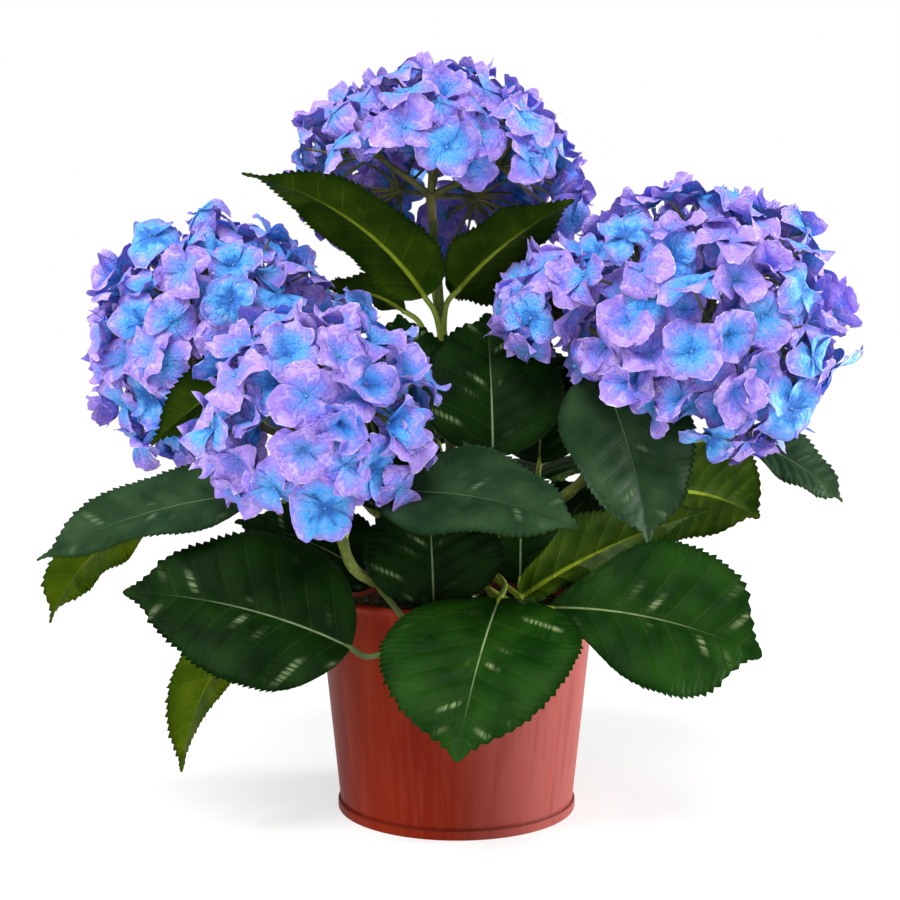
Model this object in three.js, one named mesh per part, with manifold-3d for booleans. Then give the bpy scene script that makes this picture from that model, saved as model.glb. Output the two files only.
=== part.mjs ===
// An artificial hydrangea: four blue and lilac flower heads and broad leaves on wired stems, standing
// in a round painted pot. Millimetres, +Z up, front towards -Y, with the origin in the middle of the
// pot's flat underside.
import * as THREE from "three";
import { mergeVertices } from "three/addons/utils/BufferGeometryUtils.js";
import Module from "manifold-3d";

const wasm = await Module();
wasm.setup();

// ---------------------------------------------------------------- driving dimensions

const CLEARANCE = 0.3; // kept between neighbouring pieces
const FINEST = 0.02; // edges shorter than this are closed up

const POT = {
  height: 122,
  footRadius: 64, // of the wall, just above the base ring
  mouthRadius: 76,
  wall: 1.8,
  base: 2.4,
  ringHeight: 5,
  ringProud: 1.3,
  rimBead: 1.6,
  edge: 0.7, // bevel of the base ring
  sides: 40,
};

const FILLER = { top: 107, mound: 6, flatRadius: 16 };

const TRUNK = { foot: 11, waist: 8, top: 7, height: 22, fork: 0.5, sides: 10, steps: 5 };

const STEM = { sides: 8, steps: 9, rootRadius: 3.4, tipRadius: 2.3, stalk: 14 };

const FLORET = {
  radius: 25, // from the eye to a sepal's tip
  shoulderAngle: 24, // degrees either side of the sepal's middle, where it is broadest
  notch: 0.52, // depth of the cut between two sepals, as a share of the radius
  droop: 4, // fall from the eye to the sepals' tips
  thickness: 1.2,
  footing: 5, // how far from the eye the pedicel runs into the sepals
};

// How far the florets of a head stray from their even spiral: in place and facing (radians), in size,
// and from the dome's surface, in and out by layers.
const STRAY = { turn: 0.3, size: 0.16, layer: 0.06 };

const PEDICEL = { knuckle: 4, rayRoot: 2.2, ray: 1.7, stalk: 1, tip: 0.35, sides: 4 };

// Places of the knuckles in a dome, as shares of its radii and of its spread.
const KNUCKLE = { crown: 0.45, ring: 5, reach: 0.5, spread: 0.65 };

const LEAF = {
  petioleRadius: 1.8,
  tipRadius: 0.4,
  midrib: 1.9, // thickness of the blade along its midrib
  fold: 0.22, // rise of the blade on each side of the midrib, as a share of its half width
  neck: 10, // straight end of the petiole before the blade
  broadest: 0.72, // below 1 it brings the broadest place towards the foot
  fullness: 0.75, // below 1 it makes the outline rounder
  petioleSteps: 4,
  bladeSteps: 7,
};

// Each head has one or more domes of florets round a hub, where its stem ends. A dome has a middle,
// a direction for its crown (heading and lean from the vertical, in degrees), radii across and along
// that direction, and a spread: how far round from the crown the florets reach.
const HEADS = {
  top: {
    hub: [-14, 8, 334],
    seed: 11,
    domes: [
      { centre: [-12, 14, 337], heading: 74, lean: 24, across: 77, along: 61, spread: 102, florets: 33 },
    ],
  },
  left: {
    hub: [-117, 28, 238],
    seed: 22,
    domes: [
      { centre: [-133, 30, 253], heading: 165, lean: 38, across: 70, along: 70, spread: 132, florets: 36 },
    ],
  },
  front: {
    hub: [-64, -78, 199],
    seed: 33,
    domes: [
      { centre: [-69, -88, 219], heading: -110, lean: 28, across: 57, along: 56, spread: 118, florets: 21 },
    ],
  },
  right: {
    hub: [112, -24, 238],
    seed: 44,
    domes: [
      { centre: [125, -32, 264], heading: -20, lean: 30, across: 75, along: 72, spread: 132, florets: 40 },
      { centre: [48, -34, 275], heading: -165, lean: 60, across: 24, along: 20, spread: 112, florets: 6 },
    ],
  },
};

// Each stem leaves the fork and ends under its head in a direction of its own (heading and rise, in
// degrees), and holds to each for a share of its length. The shoot bears leaves only, up to its tip.
const STEMS = {
  top: { leave: [90, 86], arrive: [150, 85], rootHold: 0.3, tipHold: 0.3 },
  left: { leave: [170, 40], arrive: [165, 52], rootHold: 0.35, tipHold: 0.3 },
  front: { leave: [-127, 6], arrive: [170, 80], rootHold: 0.85, tipHold: 0.42 },
  right: { leave: [0, 40], arrive: [-20, 60], rootHold: 0.3, tipHold: 0.3 },
  shoot: { leave: [-62, 4], arrive: [90, 86], rootHold: 0.7, tipHold: 0.45, tip: [20, -37, 166] },
};

// Each leaf grows from a stem, at a share of its length. Its blade has a foot, a length and a width,
// and angles in degrees: the heading and rise it sets off with, the droop to its tip and the roll
// about its midrib. A petiole that has to go round something passes a point on its way, and a blade
// that isn't broadest where the others are has a share of its own for that.
const LEAVES = {
  upper_left: {
    on: "top", at: 0.58, foot: [-17, -10, 279],
    heading: -157, rise: 55, droop: 46, roll: -35, length: 121, width: 50, broadest: 0.52,
  },
  upper_right: {
    on: "top", at: 0.63, foot: [1, -8, 283],
    heading: -27, rise: 46, droop: 23, roll: 28, length: 81, width: 46, broadest: 0.6,
  },
  upper_back_right: {
    on: "top", at: 0.66, foot: [-4, 14, 297],
    heading: 32, rise: -1, droop: 47, roll: 48, length: 58, width: 48,
  },
  upper_back_left: {
    on: "top", at: 0.5, foot: [-28, 16, 271],
    heading: 157, rise: 35, droop: 40, roll: -37, length: 51, width: 28,
  },
  left: {
    on: "left", at: 0.5, foot: [-101, -50, 178],
    heading: -170, rise: -2, droop: 27, roll: 30, length: 118, width: 54,
  },
  left_hanging: {
    on: "left", at: 0.45, foot: [-161, -14, 161],
    heading: -155, rise: -12, droop: 60, roll: -50, length: 82, width: 52,
  },
  left_back: {
    on: "left", at: 0.55, foot: [-96, 60, 175],
    heading: 139, rise: 1, droop: 50, roll: -4, length: 102, width: 58,
  },
  between: {
    on: "top", at: 0.53, foot: [-77, -36, 257],
    heading: -162, rise: -22, droop: 21, roll: -69, length: 98, width: 43,
  },
  low_left: {
    on: "front", at: 0.36, via: [-25, -86, 112], foot: [-53, -84, 105],
    heading: 178, rise: 26, droop: 25, roll: 55, length: 118, width: 83,
  },
  low_left_hanging: {
    on: "left", at: 0.12, via: [-72, -26, 127], foot: [-87, -37, 122],
    heading: -160, rise: -26, droop: 60, roll: -47, length: 111, width: 55,
  },
  low_left_back: {
    on: "left", at: 0.16, foot: [-72, 56, 134],
    heading: 142, rise: 8, droop: 60, roll: 0, length: 110, width: 76,
  },
  front: {
    on: "shoot", at: 0.5, foot: [21, -86, 130],
    heading: -108, rise: -28, droop: 29, roll: -2, length: 95, width: 100,
  },
  low_right: {
    on: "shoot", at: 0.42, via: [31, -67, 128], foot: [45, -78, 124],
    heading: -5, rise: 2, droop: 28, roll: -54, length: 110, width: 84, broadest: 1.25,
  },
  low_right_back: {
    on: "right", at: 0.16, foot: [78, 43, 133],
    heading: 30, rise: 6, droop: 58, roll: -2, length: 101, width: 73,
  },
  low_back: {
    on: "top", at: 0.16, foot: [-4, 88, 132],
    heading: 88, rise: 4, droop: 60, roll: 0, length: 108, width: 80,
  },
  middle: {
    on: "front", at: 0.75, foot: [-40, -85, 182],
    heading: -19, rise: 8, droop: 30, roll: -28, length: 105, width: 72,
  },
  right_centre: {
    on: "right", at: 0.66, foot: [74, -34, 240],
    heading: -52, rise: -54, droop: 25, roll: -10, length: 94, width: 80,
  },
  right_hanging: {
    on: "right", at: 0.6, foot: [107, -1, 173],
    heading: 32, rise: 3, droop: 34, roll: 62, length: 81, width: 74,
  },
  right_back: {
    on: "right", at: 0.52, foot: [92, 46, 190],
    heading: 62, rise: 10, droop: 55, roll: 0, length: 104, width: 68,
  },
  far_right: {
    on: "right", at: 0.72, foot: [160, 4, 200],
    heading: -2, rise: -18, droop: 29, roll: -37, length: 61, width: 42,
  },
  under_right: {
    on: "shoot", at: 0.3, foot: [33, -46, 124],
    heading: 14, rise: 32, droop: 20, roll: 45, length: 112, width: 64,
  },
  centre_up: {
    on: "top", at: 0.35, foot: [19, -28, 195],
    heading: 95, rise: 83, droop: 32, roll: -1, length: 83, width: 76,
  },
  centre_left: {
    on: "top", at: 0.42, foot: [-22, -23, 214],
    heading: 115, rise: 84, droop: 32, roll: 4, length: 61, width: 55,
  },
  centre_right: {
    on: "right", at: 0.45, foot: [45, 0, 189],
    heading: 76, rise: 80, droop: 28, roll: -3, length: 72, width: 60,
  },
  centre_middle: {
    on: "top", at: 0.25, foot: [-34, -16, 164],
    heading: 110, rise: 84, droop: 25, roll: 0, length: 62, width: 60,
  },
  centre_low_left: {
    on: "front", at: 0.2, foot: [-12, -62, 121],
    heading: 103, rise: 84, droop: 15, roll: 0, length: 68, width: 72,
  },
  centre_low_right: {
    on: "shoot", at: 0.2, foot: [34, -20, 126],
    heading: 85, rise: 84, droop: 15, roll: 0, length: 64, width: 62,
  },
  low_left_inner: {
    on: "left", at: 0.2, foot: [-42, -28, 128],
    heading: 168, rise: 36, droop: 30, roll: 30, length: 86, width: 62,
  },
  low_right_inner: {
    on: "right", at: 0.2, foot: [45, 1, 134],
    heading: 50, rise: 45, droop: 30, roll: -9, length: 78, width: 64,
  },
  centre_back: {
    on: "top", at: 0.3, foot: [-10, 40, 196],
    heading: 100, rise: 30, droop: 60, roll: 0, length: 110, width: 76,
  },
  back_left: {
    on: "left", at: 0.38, foot: [-56, 50, 172],
    heading: 112, rise: 18, droop: 60, roll: -5, length: 98, width: 70,
  },
  back_right: {
    on: "right", at: 0.36, foot: [44, 44, 174],
    heading: 76, rise: 22, droop: 60, roll: 5, length: 96, width: 70,
  },
  back_upper: {
    on: "top", at: 0.46, foot: [8, 26, 238],
    heading: 82, rise: 16, droop: 60, roll: 0, length: 90, width: 62,
  },
};

// ---------------------------------------------------------------- solids from three.js geometries

const rad = THREE.MathUtils.degToRad;
const vec = (x, y, z) => new THREE.Vector3(x, y, z);
const GOLDEN_ANGLE = Math.PI * (3 - Math.sqrt(5));

function solidOf(geometry) {
  const bare = new THREE.BufferGeometry().setAttribute("position", geometry.getAttribute("position"));
  if (geometry.index) bare.setIndex(geometry.index);
  const merged = mergeVertices(bare, 1e-4);
  const corners = [];
  for (let i = 0; i < merged.index.count; i += 3) {
    const [a, b, c] = [0, 1, 2].map((k) => merged.index.getX(i + k));
    if (a !== b && b !== c && c !== a) corners.push(a, b, c); // a pole leaves faces with no area
  }
  return new wasm.Manifold(
    new wasm.Mesh({
      numProp: 3,
      vertProperties: merged.attributes.position.array,
      triVerts: new Uint32Array(corners),
    }),
  );
}

function geometryOf(solid) {
  const mesh = solid.getMesh();
  const geometry = new THREE.BufferGeometry();
  geometry.setAttribute("position", new THREE.BufferAttribute(mesh.vertProperties, 3));
  geometry.setIndex(new THREE.BufferAttribute(mesh.triVerts, 1));
  geometry.computeVertexNormals();
  return geometry;
}

// The main body of a solid, without the loose scraps that a cut can leave.
function largest(solid) {
  return solid.decompose().sort((a, b) => b.volume() - a.volume())[0];
}

// A cylinder reshaped ring by ring: place(ring, across, up) says where a corner of the unit
// cylinder goes, with ring from 0 to steps and across and up from -1 to 1.
function swept(sides, steps, place) {
  const geometry = new THREE.CylinderGeometry(1, 1, 1, sides, steps);
  const position = geometry.getAttribute("position");
  for (let i = 0; i < position.count; i++) {
    const ring = Math.round((position.getY(i) + 0.5) * steps);
    const point = place(ring, position.getX(i), -position.getZ(i));
    position.setXYZ(i, point.x, point.y, point.z);
  }
  return solidOf(geometry);
}

// A straight tapering rod between two points.
function rod(from, to, fromRadius, toRadius, sides) {
  const span = to.clone().sub(from);
  const geometry = new THREE.CylinderGeometry(toRadius, fromRadius, span.length(), sides);
  const middle = from.clone().add(to).multiplyScalar(0.5);
  geometry.applyQuaternion(new THREE.Quaternion().setFromUnitVectors(vec(0, 1, 0), span.normalize()));
  geometry.translate(middle.x, middle.y, middle.z);
  return solidOf(geometry);
}

function lathed(profile) {
  const points = profile.map(([radius, height]) => new THREE.Vector2(radius, height));
  return solidOf(new THREE.LatheGeometry(points, POT.sides).rotateX(Math.PI / 2));
}

// Draws from 0 to 1 by a linear congruential rule of 32 bits, so that they are the same everywhere.
function seededRandom(seed) {
  let state = seed;
  return () => {
    state = (Math.imul(state, 1664525) + 1013904223) >>> 0;
    return state / 4294967296;
  };
}

// Unit vector with a compass heading from +X towards +Y and a rise above the level, in degrees.
function towards(heading, rise) {
  const [h, r] = [rad(heading), rad(rise)];
  return vec(Math.cos(h) * Math.cos(r), Math.sin(h) * Math.cos(r), Math.sin(r));
}

// Two directions square to an axis, chosen the same way every time.
function crossAxes(axis) {
  const reference = Math.abs(axis.z) < 0.9 ? vec(0, 0, 1) : vec(1, 0, 0);
  const u = reference.cross(axis).normalize();
  return [u, axis.clone().cross(u)];
}

// ---------------------------------------------------------------- pot and filler

// Radius of the pot's outer wall at a height.
function wallRadius(height) {
  const share = (height - POT.ringHeight) / (POT.height - POT.ringHeight);
  return POT.footRadius + (POT.mouthRadius - POT.footRadius) * share;
}

function pot() {
  const { height, base, wall, ringHeight, ringProud, rimBead, edge } = POT;
  const ring = POT.footRadius + ringProud;
  const mouth = wallRadius(height);
  return lathed([
    [0, 0],
    [ring - edge, 0],
    [ring, edge],
    [ring, ringHeight - edge],
    [wallRadius(ringHeight), ringHeight],
    [wallRadius(height - 2 * rimBead), height - 2 * rimBead],
    [mouth + rimBead, height - rimBead],
    [mouth, height],
    [mouth - wall, height - rimBead],
    [wallRadius(base) - wall, base],
    [0, base],
  ]);
}

function filler() {
  const bottom = POT.base + CLEARANCE;
  const inner = (height) => wallRadius(height) - POT.wall - CLEARANCE;
  const { top, mound, flatRadius } = FILLER;
  return lathed([
    [0, bottom],
    [inner(bottom), bottom],
    [inner(top), top],
    [(inner(top) + flatRadius) / 2, top + mound * 0.7],
    [flatRadius, top + mound],
    [0, top + mound],
  ]);
}

// ---------------------------------------------------------------- trunk and stems

const trunkFoot = FILLER.top + FILLER.mound + CLEARANCE;
const fork = vec(0, 0, trunkFoot + TRUNK.height * TRUNK.fork);

function trunk(extra = 0) {
  const { foot, waist, top, height, sides, steps } = TRUNK;
  return swept(sides, steps, (ring, across, up) => {
    const along = ring / steps;
    const flare = (foot - waist) * (1 - along) ** 3;
    const radius = flare + waist + (top - waist) * along + extra;
    return vec(across * radius, up * radius, trunkFoot + height * along + (ring === steps ? extra : 0));
  });
}

function crownOf(dome) {
  return towards(dome.heading, 90 - dome.lean);
}

function stemCurve(name) {
  const { leave, arrive, rootHold, tipHold, tip: end } = STEMS[name];
  const tip = end ? vec(...end) : vec(...HEADS[name].hub).addScaledVector(towards(...arrive), -STEM.stalk);
  const span = tip.distanceTo(fork);
  const root = fork.clone().addScaledVector(towards(...leave), span * rootHold);
  const neck = tip.clone().addScaledVector(towards(...arrive), -span * tipHold);
  return new THREE.CubicBezierCurve3(fork, root, neck, tip);
}

function stemTube(name, extra = 0) {
  const { sides, steps, rootRadius, tipRadius } = STEM;
  const curve = stemCurve(name);
  return swept(sides, steps, (ring, across, up) => {
    const [u, v] = crossAxes(curve.getTangent(ring / steps));
    const radius = rootRadius + ((tipRadius - rootRadius) * ring) / steps + extra;
    return curve
      .getPoint(ring / steps)
      .addScaledVector(u, across * radius)
      .addScaledVector(v, up * radius);
  });
}

// ---------------------------------------------------------------- flower heads

// Where each floret of a dome sits, which way it faces and how it is turned: a golden-angle spiral
// from the crown to the skirt, in three layers, shaken a little by the head's own draws.
function floretSites(dome, random) {
  const axis = crownOf(dome);
  const [u, v] = crossAxes(axis);
  const shake = (size) => (random() - 0.5) * size;
  const sites = [];
  for (let k = 0; k < dome.florets; k++) {
    const share = (k + 0.5) / dome.florets;
    const polar = Math.acos(1 - share * (1 - Math.cos(rad(dome.spread))));
    const around = k * GOLDEN_ANGLE + shake(STRAY.turn);
    const layer = 1 + ((k % 3) - 1) * STRAY.layer;
    const offset = vec(
      Math.sin(polar) * Math.cos(around),
      Math.sin(polar) * Math.sin(around),
      Math.cos(polar),
    );
    const at = vec(...dome.centre)
      .addScaledVector(u, offset.x * dome.across * layer)
      .addScaledVector(v, offset.y * dome.across * layer)
      .addScaledVector(axis, offset.z * dome.along * layer);
    const facing = vec(0, 0, 0)
      .addScaledVector(u, offset.x + shake(STRAY.turn))
      .addScaledVector(v, offset.y + shake(STRAY.turn))
      .addScaledVector(axis, (offset.z * dome.across) / dome.along + shake(STRAY.turn))
      .normalize();
    sites.push({ at, facing, spin: (random() * Math.PI) / 2, size: 1 + shake(STRAY.size) });
  }
  return sites;
}

// A point of a floret: so far from its eye, at an angle from the middle of its first sepal.
function onFloret(site, distance, angle) {
  const [u, v] = crossAxes(site.facing);
  return site.at
    .clone()
    .addScaledVector(u, Math.cos(angle + site.spin) * distance)
    .addScaledVector(v, Math.sin(angle + site.spin) * distance)
    .addScaledVector(site.facing, (-FLORET.droop * distance) / FLORET.radius);
}

// One floret: a flattened ball whose rim is drawn out into four broad sepals.
function floret(site) {
  const { radius, shoulderAngle, notch, thickness } = FLORET;
  const rim = [
    [-shoulderAngle, 1],
    [shoulderAngle, 1],
    [45, notch],
  ];
  const corners = 4 * rim.length;
  const geometry = new THREE.SphereGeometry(1, corners, 2);
  const position = geometry.getAttribute("position");
  for (let i = 0; i < position.count; i++) {
    const [x, y, z] = [position.getX(i), position.getY(i), position.getZ(i)];
    const corner = (Math.round((Math.atan2(z, x) / (2 * Math.PI)) * corners) + corners) % corners;
    const [degrees, share] = rim[corner % rim.length];
    const angle = -rad(degrees + 90 * Math.floor(corner / rim.length));
    const point = onFloret(site, Math.abs(y) > 0.5 ? 0 : radius * site.size * share, angle);
    if (Math.abs(y) > 0.5) point.addScaledVector(site.facing, (Math.sign(y) * thickness) / 2);
    position.setXYZ(i, point.x, point.y, point.z);
  }
  return solidOf(geometry);
}

// The knuckles where a dome's rays end and its pedicels begin: one under the crown and a ring of
// others round it, or the dome's middle where it is small.
function knuckles(dome) {
  const axis = crownOf(dome);
  const [u, v] = crossAxes(axis);
  const centre = vec(...dome.centre);
  if (dome.across < 2 * FLORET.radius) return [centre];
  const points = [centre.clone().addScaledVector(axis, dome.along * KNUCKLE.crown)];
  const polar = rad(dome.spread * KNUCKLE.spread);
  const outward = Math.sin(polar) * dome.across * KNUCKLE.reach;
  const upward = Math.cos(polar) * dome.along * KNUCKLE.reach;
  for (let k = 0; k < KNUCKLE.ring; k++) {
    const around = (k * 2 * Math.PI) / KNUCKLE.ring;
    points.push(
      centre
        .clone()
        .addScaledVector(u, Math.cos(around) * outward)
        .addScaledVector(v, Math.sin(around) * outward)
        .addScaledVector(axis, upward),
    );
  }
  return points;
}

function flowerHead(name) {
  const head = HEADS[name];
  const hub = vec(...head.hub);
  const upright = towards(...STEMS[name].arrive);
  const foot = hub.clone().addScaledVector(upright, CLEARANCE - STEM.stalk);
  const random = seededRandom(head.seed);
  const pieces = [rod(foot, hub.clone().add(upright), STEM.tipRadius, STEM.tipRadius, STEM.sides - 2)];
  for (const dome of head.domes) {
    const joints = knuckles(dome);
    for (const joint of joints) {
      const knuckle = new THREE.OctahedronGeometry(PEDICEL.knuckle).translate(joint.x, joint.y, joint.z);
      pieces.push(rod(hub, joint, PEDICEL.rayRoot, PEDICEL.ray, PEDICEL.sides));
      pieces.push(solidOf(knuckle));
    }
    for (const site of floretSites(dome, random)) {
      const joint = joints.reduce((a, b) => (b.distanceTo(site.at) < a.distanceTo(site.at) ? b : a));
      const footing = onFloret(site, FLORET.footing, 0);
      pieces.push(rod(joint, footing, PEDICEL.stalk, PEDICEL.tip, PEDICEL.sides - 1));
      pieces.push(floret(site));
    }
  }
  return largest(wasm.Manifold.union(pieces));
}

// ---------------------------------------------------------------- leaves

// The share of its full width that a blade has, from its foot (0) to its pointed tip (1).
function bladeShape(leaf, along) {
  return Math.sin(Math.PI * along ** (leaf.broadest ?? LEAF.broadest)) ** LEAF.fullness;
}

// The middle, the side and the upward direction of a leaf at each of its rings, from the stem to
// the tip. The petiole carries the blade's directions back to the stem without twisting.
function leafRings(leaf) {
  const { petioleSteps, bladeSteps } = LEAF;
  const foot = vec(...leaf.foot);
  const set = towards(leaf.heading, leaf.rise);
  const level = towards(leaf.heading + 90, 0);
  const roll = new THREE.Quaternion();
  const rings = [];
  const middle = foot.clone();
  for (let i = 0; i <= bladeSteps; i++) {
    const forward = towards(leaf.heading, leaf.rise - (leaf.droop * i) / bladeSteps);
    roll.setFromAxisAngle(forward, -rad(leaf.roll));
    const side = level.clone().applyQuaternion(roll);
    rings.push({ middle: middle.clone(), side, up: forward.clone().cross(side) });
    const halfway = leaf.rise - (leaf.droop * (i + 0.5)) / bladeSteps;
    middle.addScaledVector(towards(leaf.heading, halfway), leaf.length / bladeSteps);
  }
  const neck = foot.clone().addScaledVector(set, -LEAF.neck);
  const path = [stemCurve(leaf.on).getPoint(leaf.at), neck, foot];
  if (leaf.via) path.splice(1, 0, vec(...leaf.via));
  const petiole = new THREE.CatmullRomCurve3(path);
  let forward = set;
  for (let i = petioleSteps - 1; i >= 0; i--) {
    const turned = petiole.getTangent(i / petioleSteps);
    const turn = new THREE.Quaternion().setFromUnitVectors(forward, turned);
    const { side, up } = rings[0];
    rings.unshift({
      middle: petiole.getPoint(i / petioleSteps),
      side: side.clone().applyQuaternion(turn),
      up: up.clone().applyQuaternion(turn),
    });
    forward = turned;
  }
  return rings;
}

function leafSolid(leaf) {
  const { petioleRadius, tipRadius, midrib, fold, petioleSteps, bladeSteps } = LEAF;
  const rings = leafRings(leaf);
  return swept(4, rings.length - 1, (i, across, up) => {
    const along = Math.max(0, (i - petioleSteps) / bladeSteps);
    const stalk = petioleRadius + (tipRadius - petioleRadius) * along;
    const half = Math.max((leaf.width / 2) * bladeShape(leaf, along), stalk);
    const thinning = Math.min(1, along * 4); // from a round petiole to a flat blade
    const thick = along === 1 ? tipRadius : petioleRadius + (midrib / 2 - petioleRadius) * thinning;
    const rise = along > 0 ? half * fold * Math.abs(across) : 0;
    const { middle, side, up: lift } = rings[i];
    return middle
      .clone()
      .addScaledVector(side, across * half)
      .addScaledVector(lift, up * thick + rise);
  });
}

// ---------------------------------------------------------------- the whole plant

function paint(colour, roughness) {
  return new THREE.MeshStandardMaterial({ color: colour, roughness, metalness: 0 });
}

const TERRACOTTA = paint(0xa84a38, 0.6);
const MOSS = paint(0x3a3220, 0.95);
const STEM_GREEN = paint(0x6f7f35, 0.6);
const LEAF_GREEN = paint(0x1f4a1c, 0.45);
const BLOSSOM = paint(0x8f86e0, 0.7);

const plant = new THREE.Group();

function add(name, solid, material) {
  const mesh = new THREE.Mesh(geometryOf(solid.simplify(FINEST)), material);
  mesh.name = name;
  plant.add(mesh);
}

add("pot", pot(), TERRACOTTA);
add("pot_filler", filler(), MOSS);
add("trunk", trunk(), STEM_GREEN);

const wideTrunk = trunk(CLEARANCE);
for (const name of Object.keys(STEMS)) {
  add(`stem_${name}`, largest(stemTube(name).subtract(wideTrunk)), STEM_GREEN);
}
for (const name of Object.keys(HEADS)) {
  add(`head_${name}`, flowerHead(name), BLOSSOM);
}
for (const [name, leaf] of Object.entries(LEAVES)) {
  add(`leaf_${name}`, largest(leafSolid(leaf).subtract(stemTube(leaf.on, CLEARANCE))), LEAF_GREEN);
}

export default plant;
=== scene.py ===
# %% [markdown]
# # A cloth hydrangea in its pot
#
# The real thing is an artificial plant: four mophead flower heads and a collar of broad leaves, cut
# from printed cloth and wired on to moulded plastic stems that stand in a painted metal pot. The
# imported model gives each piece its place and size, as plain solids. Every piece is made again here
# in finer form, from the same measures and by the same growing rules, so that it stays in the space
# its solid holds.

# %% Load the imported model
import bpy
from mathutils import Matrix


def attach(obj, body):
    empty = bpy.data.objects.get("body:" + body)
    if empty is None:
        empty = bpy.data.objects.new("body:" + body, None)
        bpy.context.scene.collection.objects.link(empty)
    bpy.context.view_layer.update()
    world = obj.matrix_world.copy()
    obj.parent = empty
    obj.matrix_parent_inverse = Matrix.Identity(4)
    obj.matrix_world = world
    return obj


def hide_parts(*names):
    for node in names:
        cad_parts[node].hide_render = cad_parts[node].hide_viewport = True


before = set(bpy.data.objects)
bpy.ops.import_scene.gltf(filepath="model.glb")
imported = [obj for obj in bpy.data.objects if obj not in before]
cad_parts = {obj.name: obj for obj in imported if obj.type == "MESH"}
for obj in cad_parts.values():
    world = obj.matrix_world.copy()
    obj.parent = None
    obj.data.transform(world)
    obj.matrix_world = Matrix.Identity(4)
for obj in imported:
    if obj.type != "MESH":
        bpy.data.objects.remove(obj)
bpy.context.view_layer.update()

# %% [markdown]
# ## Directions and draws
#
# Growing things are easiest to place by a compass heading and a rise above the level, so that is how
# directions are written. Chance comes from one small rule of whole numbers that starts from a seed,
# so the plant grows alike in every run.

# %% Directions and seeded draws
import math
import bpy
import numpy as np

MM = 0.001  # all measures below are in millimetres
TURN = 2 * math.pi


def towards(heading, rise):
    """Unit vector with a heading from +X towards +Y and a rise above the level, in degrees."""
    h, r = math.radians(heading), math.radians(rise)
    return np.array([math.cos(h) * math.cos(r), math.sin(h) * math.cos(r), math.sin(r)])


def unit(vector):
    return vector / np.linalg.norm(vector)


def cross_axes(axis):
    """Two directions square to an axis, chosen the same way every time."""
    steep = abs(axis[2]) >= 0.9
    reference = np.array([1.0, 0.0, 0.0]) if steep else np.array([0.0, 0.0, 1.0])
    u = unit(np.cross(reference, axis))
    return u, np.cross(axis, u)


def seeded_draws(seed):
    """A function that draws numbers from 0 to 1 by a 32-bit rule."""
    multiplier, increment, modulus = 1664525, 1013904223, 2**32
    state = seed

    def draw():
        nonlocal state
        state = (state * multiplier + increment) % modulus
        return state / modulus

    return draw


first = seeded_draws(11)
print("first draws of seed 11:", [round(first(), 3) for _ in range(3)])

# %% [markdown]
# ## From arrays to meshes
#
# Thousands of sepals would be slow to add one by one, so points and faces are worked out as arrays
# and handed to Blender in one go. A grid of points becomes four-sided faces; a grid that is closed
# round one way becomes a tube.

# %% Faces of a grid
def grid_faces(rows, columns, closed=False, start=0):
    """Four-sided faces over rows x columns points; closed joins the last column to the first."""
    index = np.arange(rows * columns).reshape(rows, columns) + start
    if closed:
        index = np.concatenate([index, index[:, :1]], axis=1)
    corners = [index[:-1, :-1], index[:-1, 1:], index[1:, 1:], index[1:, :-1]]
    return np.stack(corners, axis=-1).reshape(-1, 4)


def tube_faces(rows, sides):
    """The faces of a tube's wall, of its first end and of its last end."""
    last = (rows - 1) * sides
    first_end, last_end = np.arange(sides)[::-1], np.arange(last, last + sides)
    return [grid_faces(rows, sides, closed=True), first_end[None, :], last_end[None, :]]


print("a tube of 3 rings of 6 points has", sum(len(f) for f in tube_faces(3, 6)), "faces")

# %% [markdown]
# Every piece rides on the one body of the plant, and most stand for a solid of the imported model.
# One function sees to all of that.
# Its mesh may also carry a map of the flat cloth and marks, numbers at each point that a finish reads.

# %% A piece from arrays
def add_object(name, data):
    thing = bpy.data.objects.new(name, data)
    bpy.context.scene.collection.objects.link(thing)
    return thing


def make_piece(name, slot, points, faces, finishes, stands_for=None,
               finish_of_face=None, cloth_map=None, marks=None):
    mesh = bpy.data.meshes.new(name)
    corners = np.concatenate([f.ravel() for f in faces]).astype(np.int32)
    sizes = np.concatenate([np.full(len(f), f.shape[1]) for f in faces])
    mesh.vertices.add(len(points))
    mesh.vertices.foreach_set("co", (np.asarray(points) * MM).astype(np.float32).ravel())
    mesh.loops.add(len(corners))
    mesh.loops.foreach_set("vertex_index", corners)
    mesh.polygons.add(len(sizes))
    mesh.polygons.foreach_set("loop_start", (np.cumsum(sizes) - sizes).astype(np.int32))
    for finish in finishes:
        mesh.materials.append(finish)
    if finish_of_face is not None:
        mesh.polygons.foreach_set("material_index", np.asarray(finish_of_face, dtype=np.int32))
    mesh.update(calc_edges=True)
    mesh.shade_smooth()
    if cloth_map is not None:
        layer = mesh.uv_layers.new(name="OFBake")
        layer.data.foreach_set("uv", np.asarray(cloth_map)[corners].astype(np.float32).ravel())
    for mark, vectors in (marks or {}).items():
        attribute = mesh.attributes.new(mark, "FLOAT_VECTOR", "POINT")
        attribute.data.foreach_set("vector", np.asarray(vectors).astype(np.float32).ravel())
    piece = add_object(name, mesh)
    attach(piece, "root")
    if stands_for:
        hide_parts(stands_for)
    return piece


def faces_of(pieces):
    """How many faces each piece of a dict has."""
    return {name: len(piece.data.polygons) for name, piece in pieces.items()}


# %% Tubes along a path
def circle(angles, reach, u, v):
    """Points at the angles in the plane of u and v, reach away from its middle."""
    return np.outer(reach * np.cos(angles), u) + np.outer(reach * np.sin(angles), v)


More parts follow.
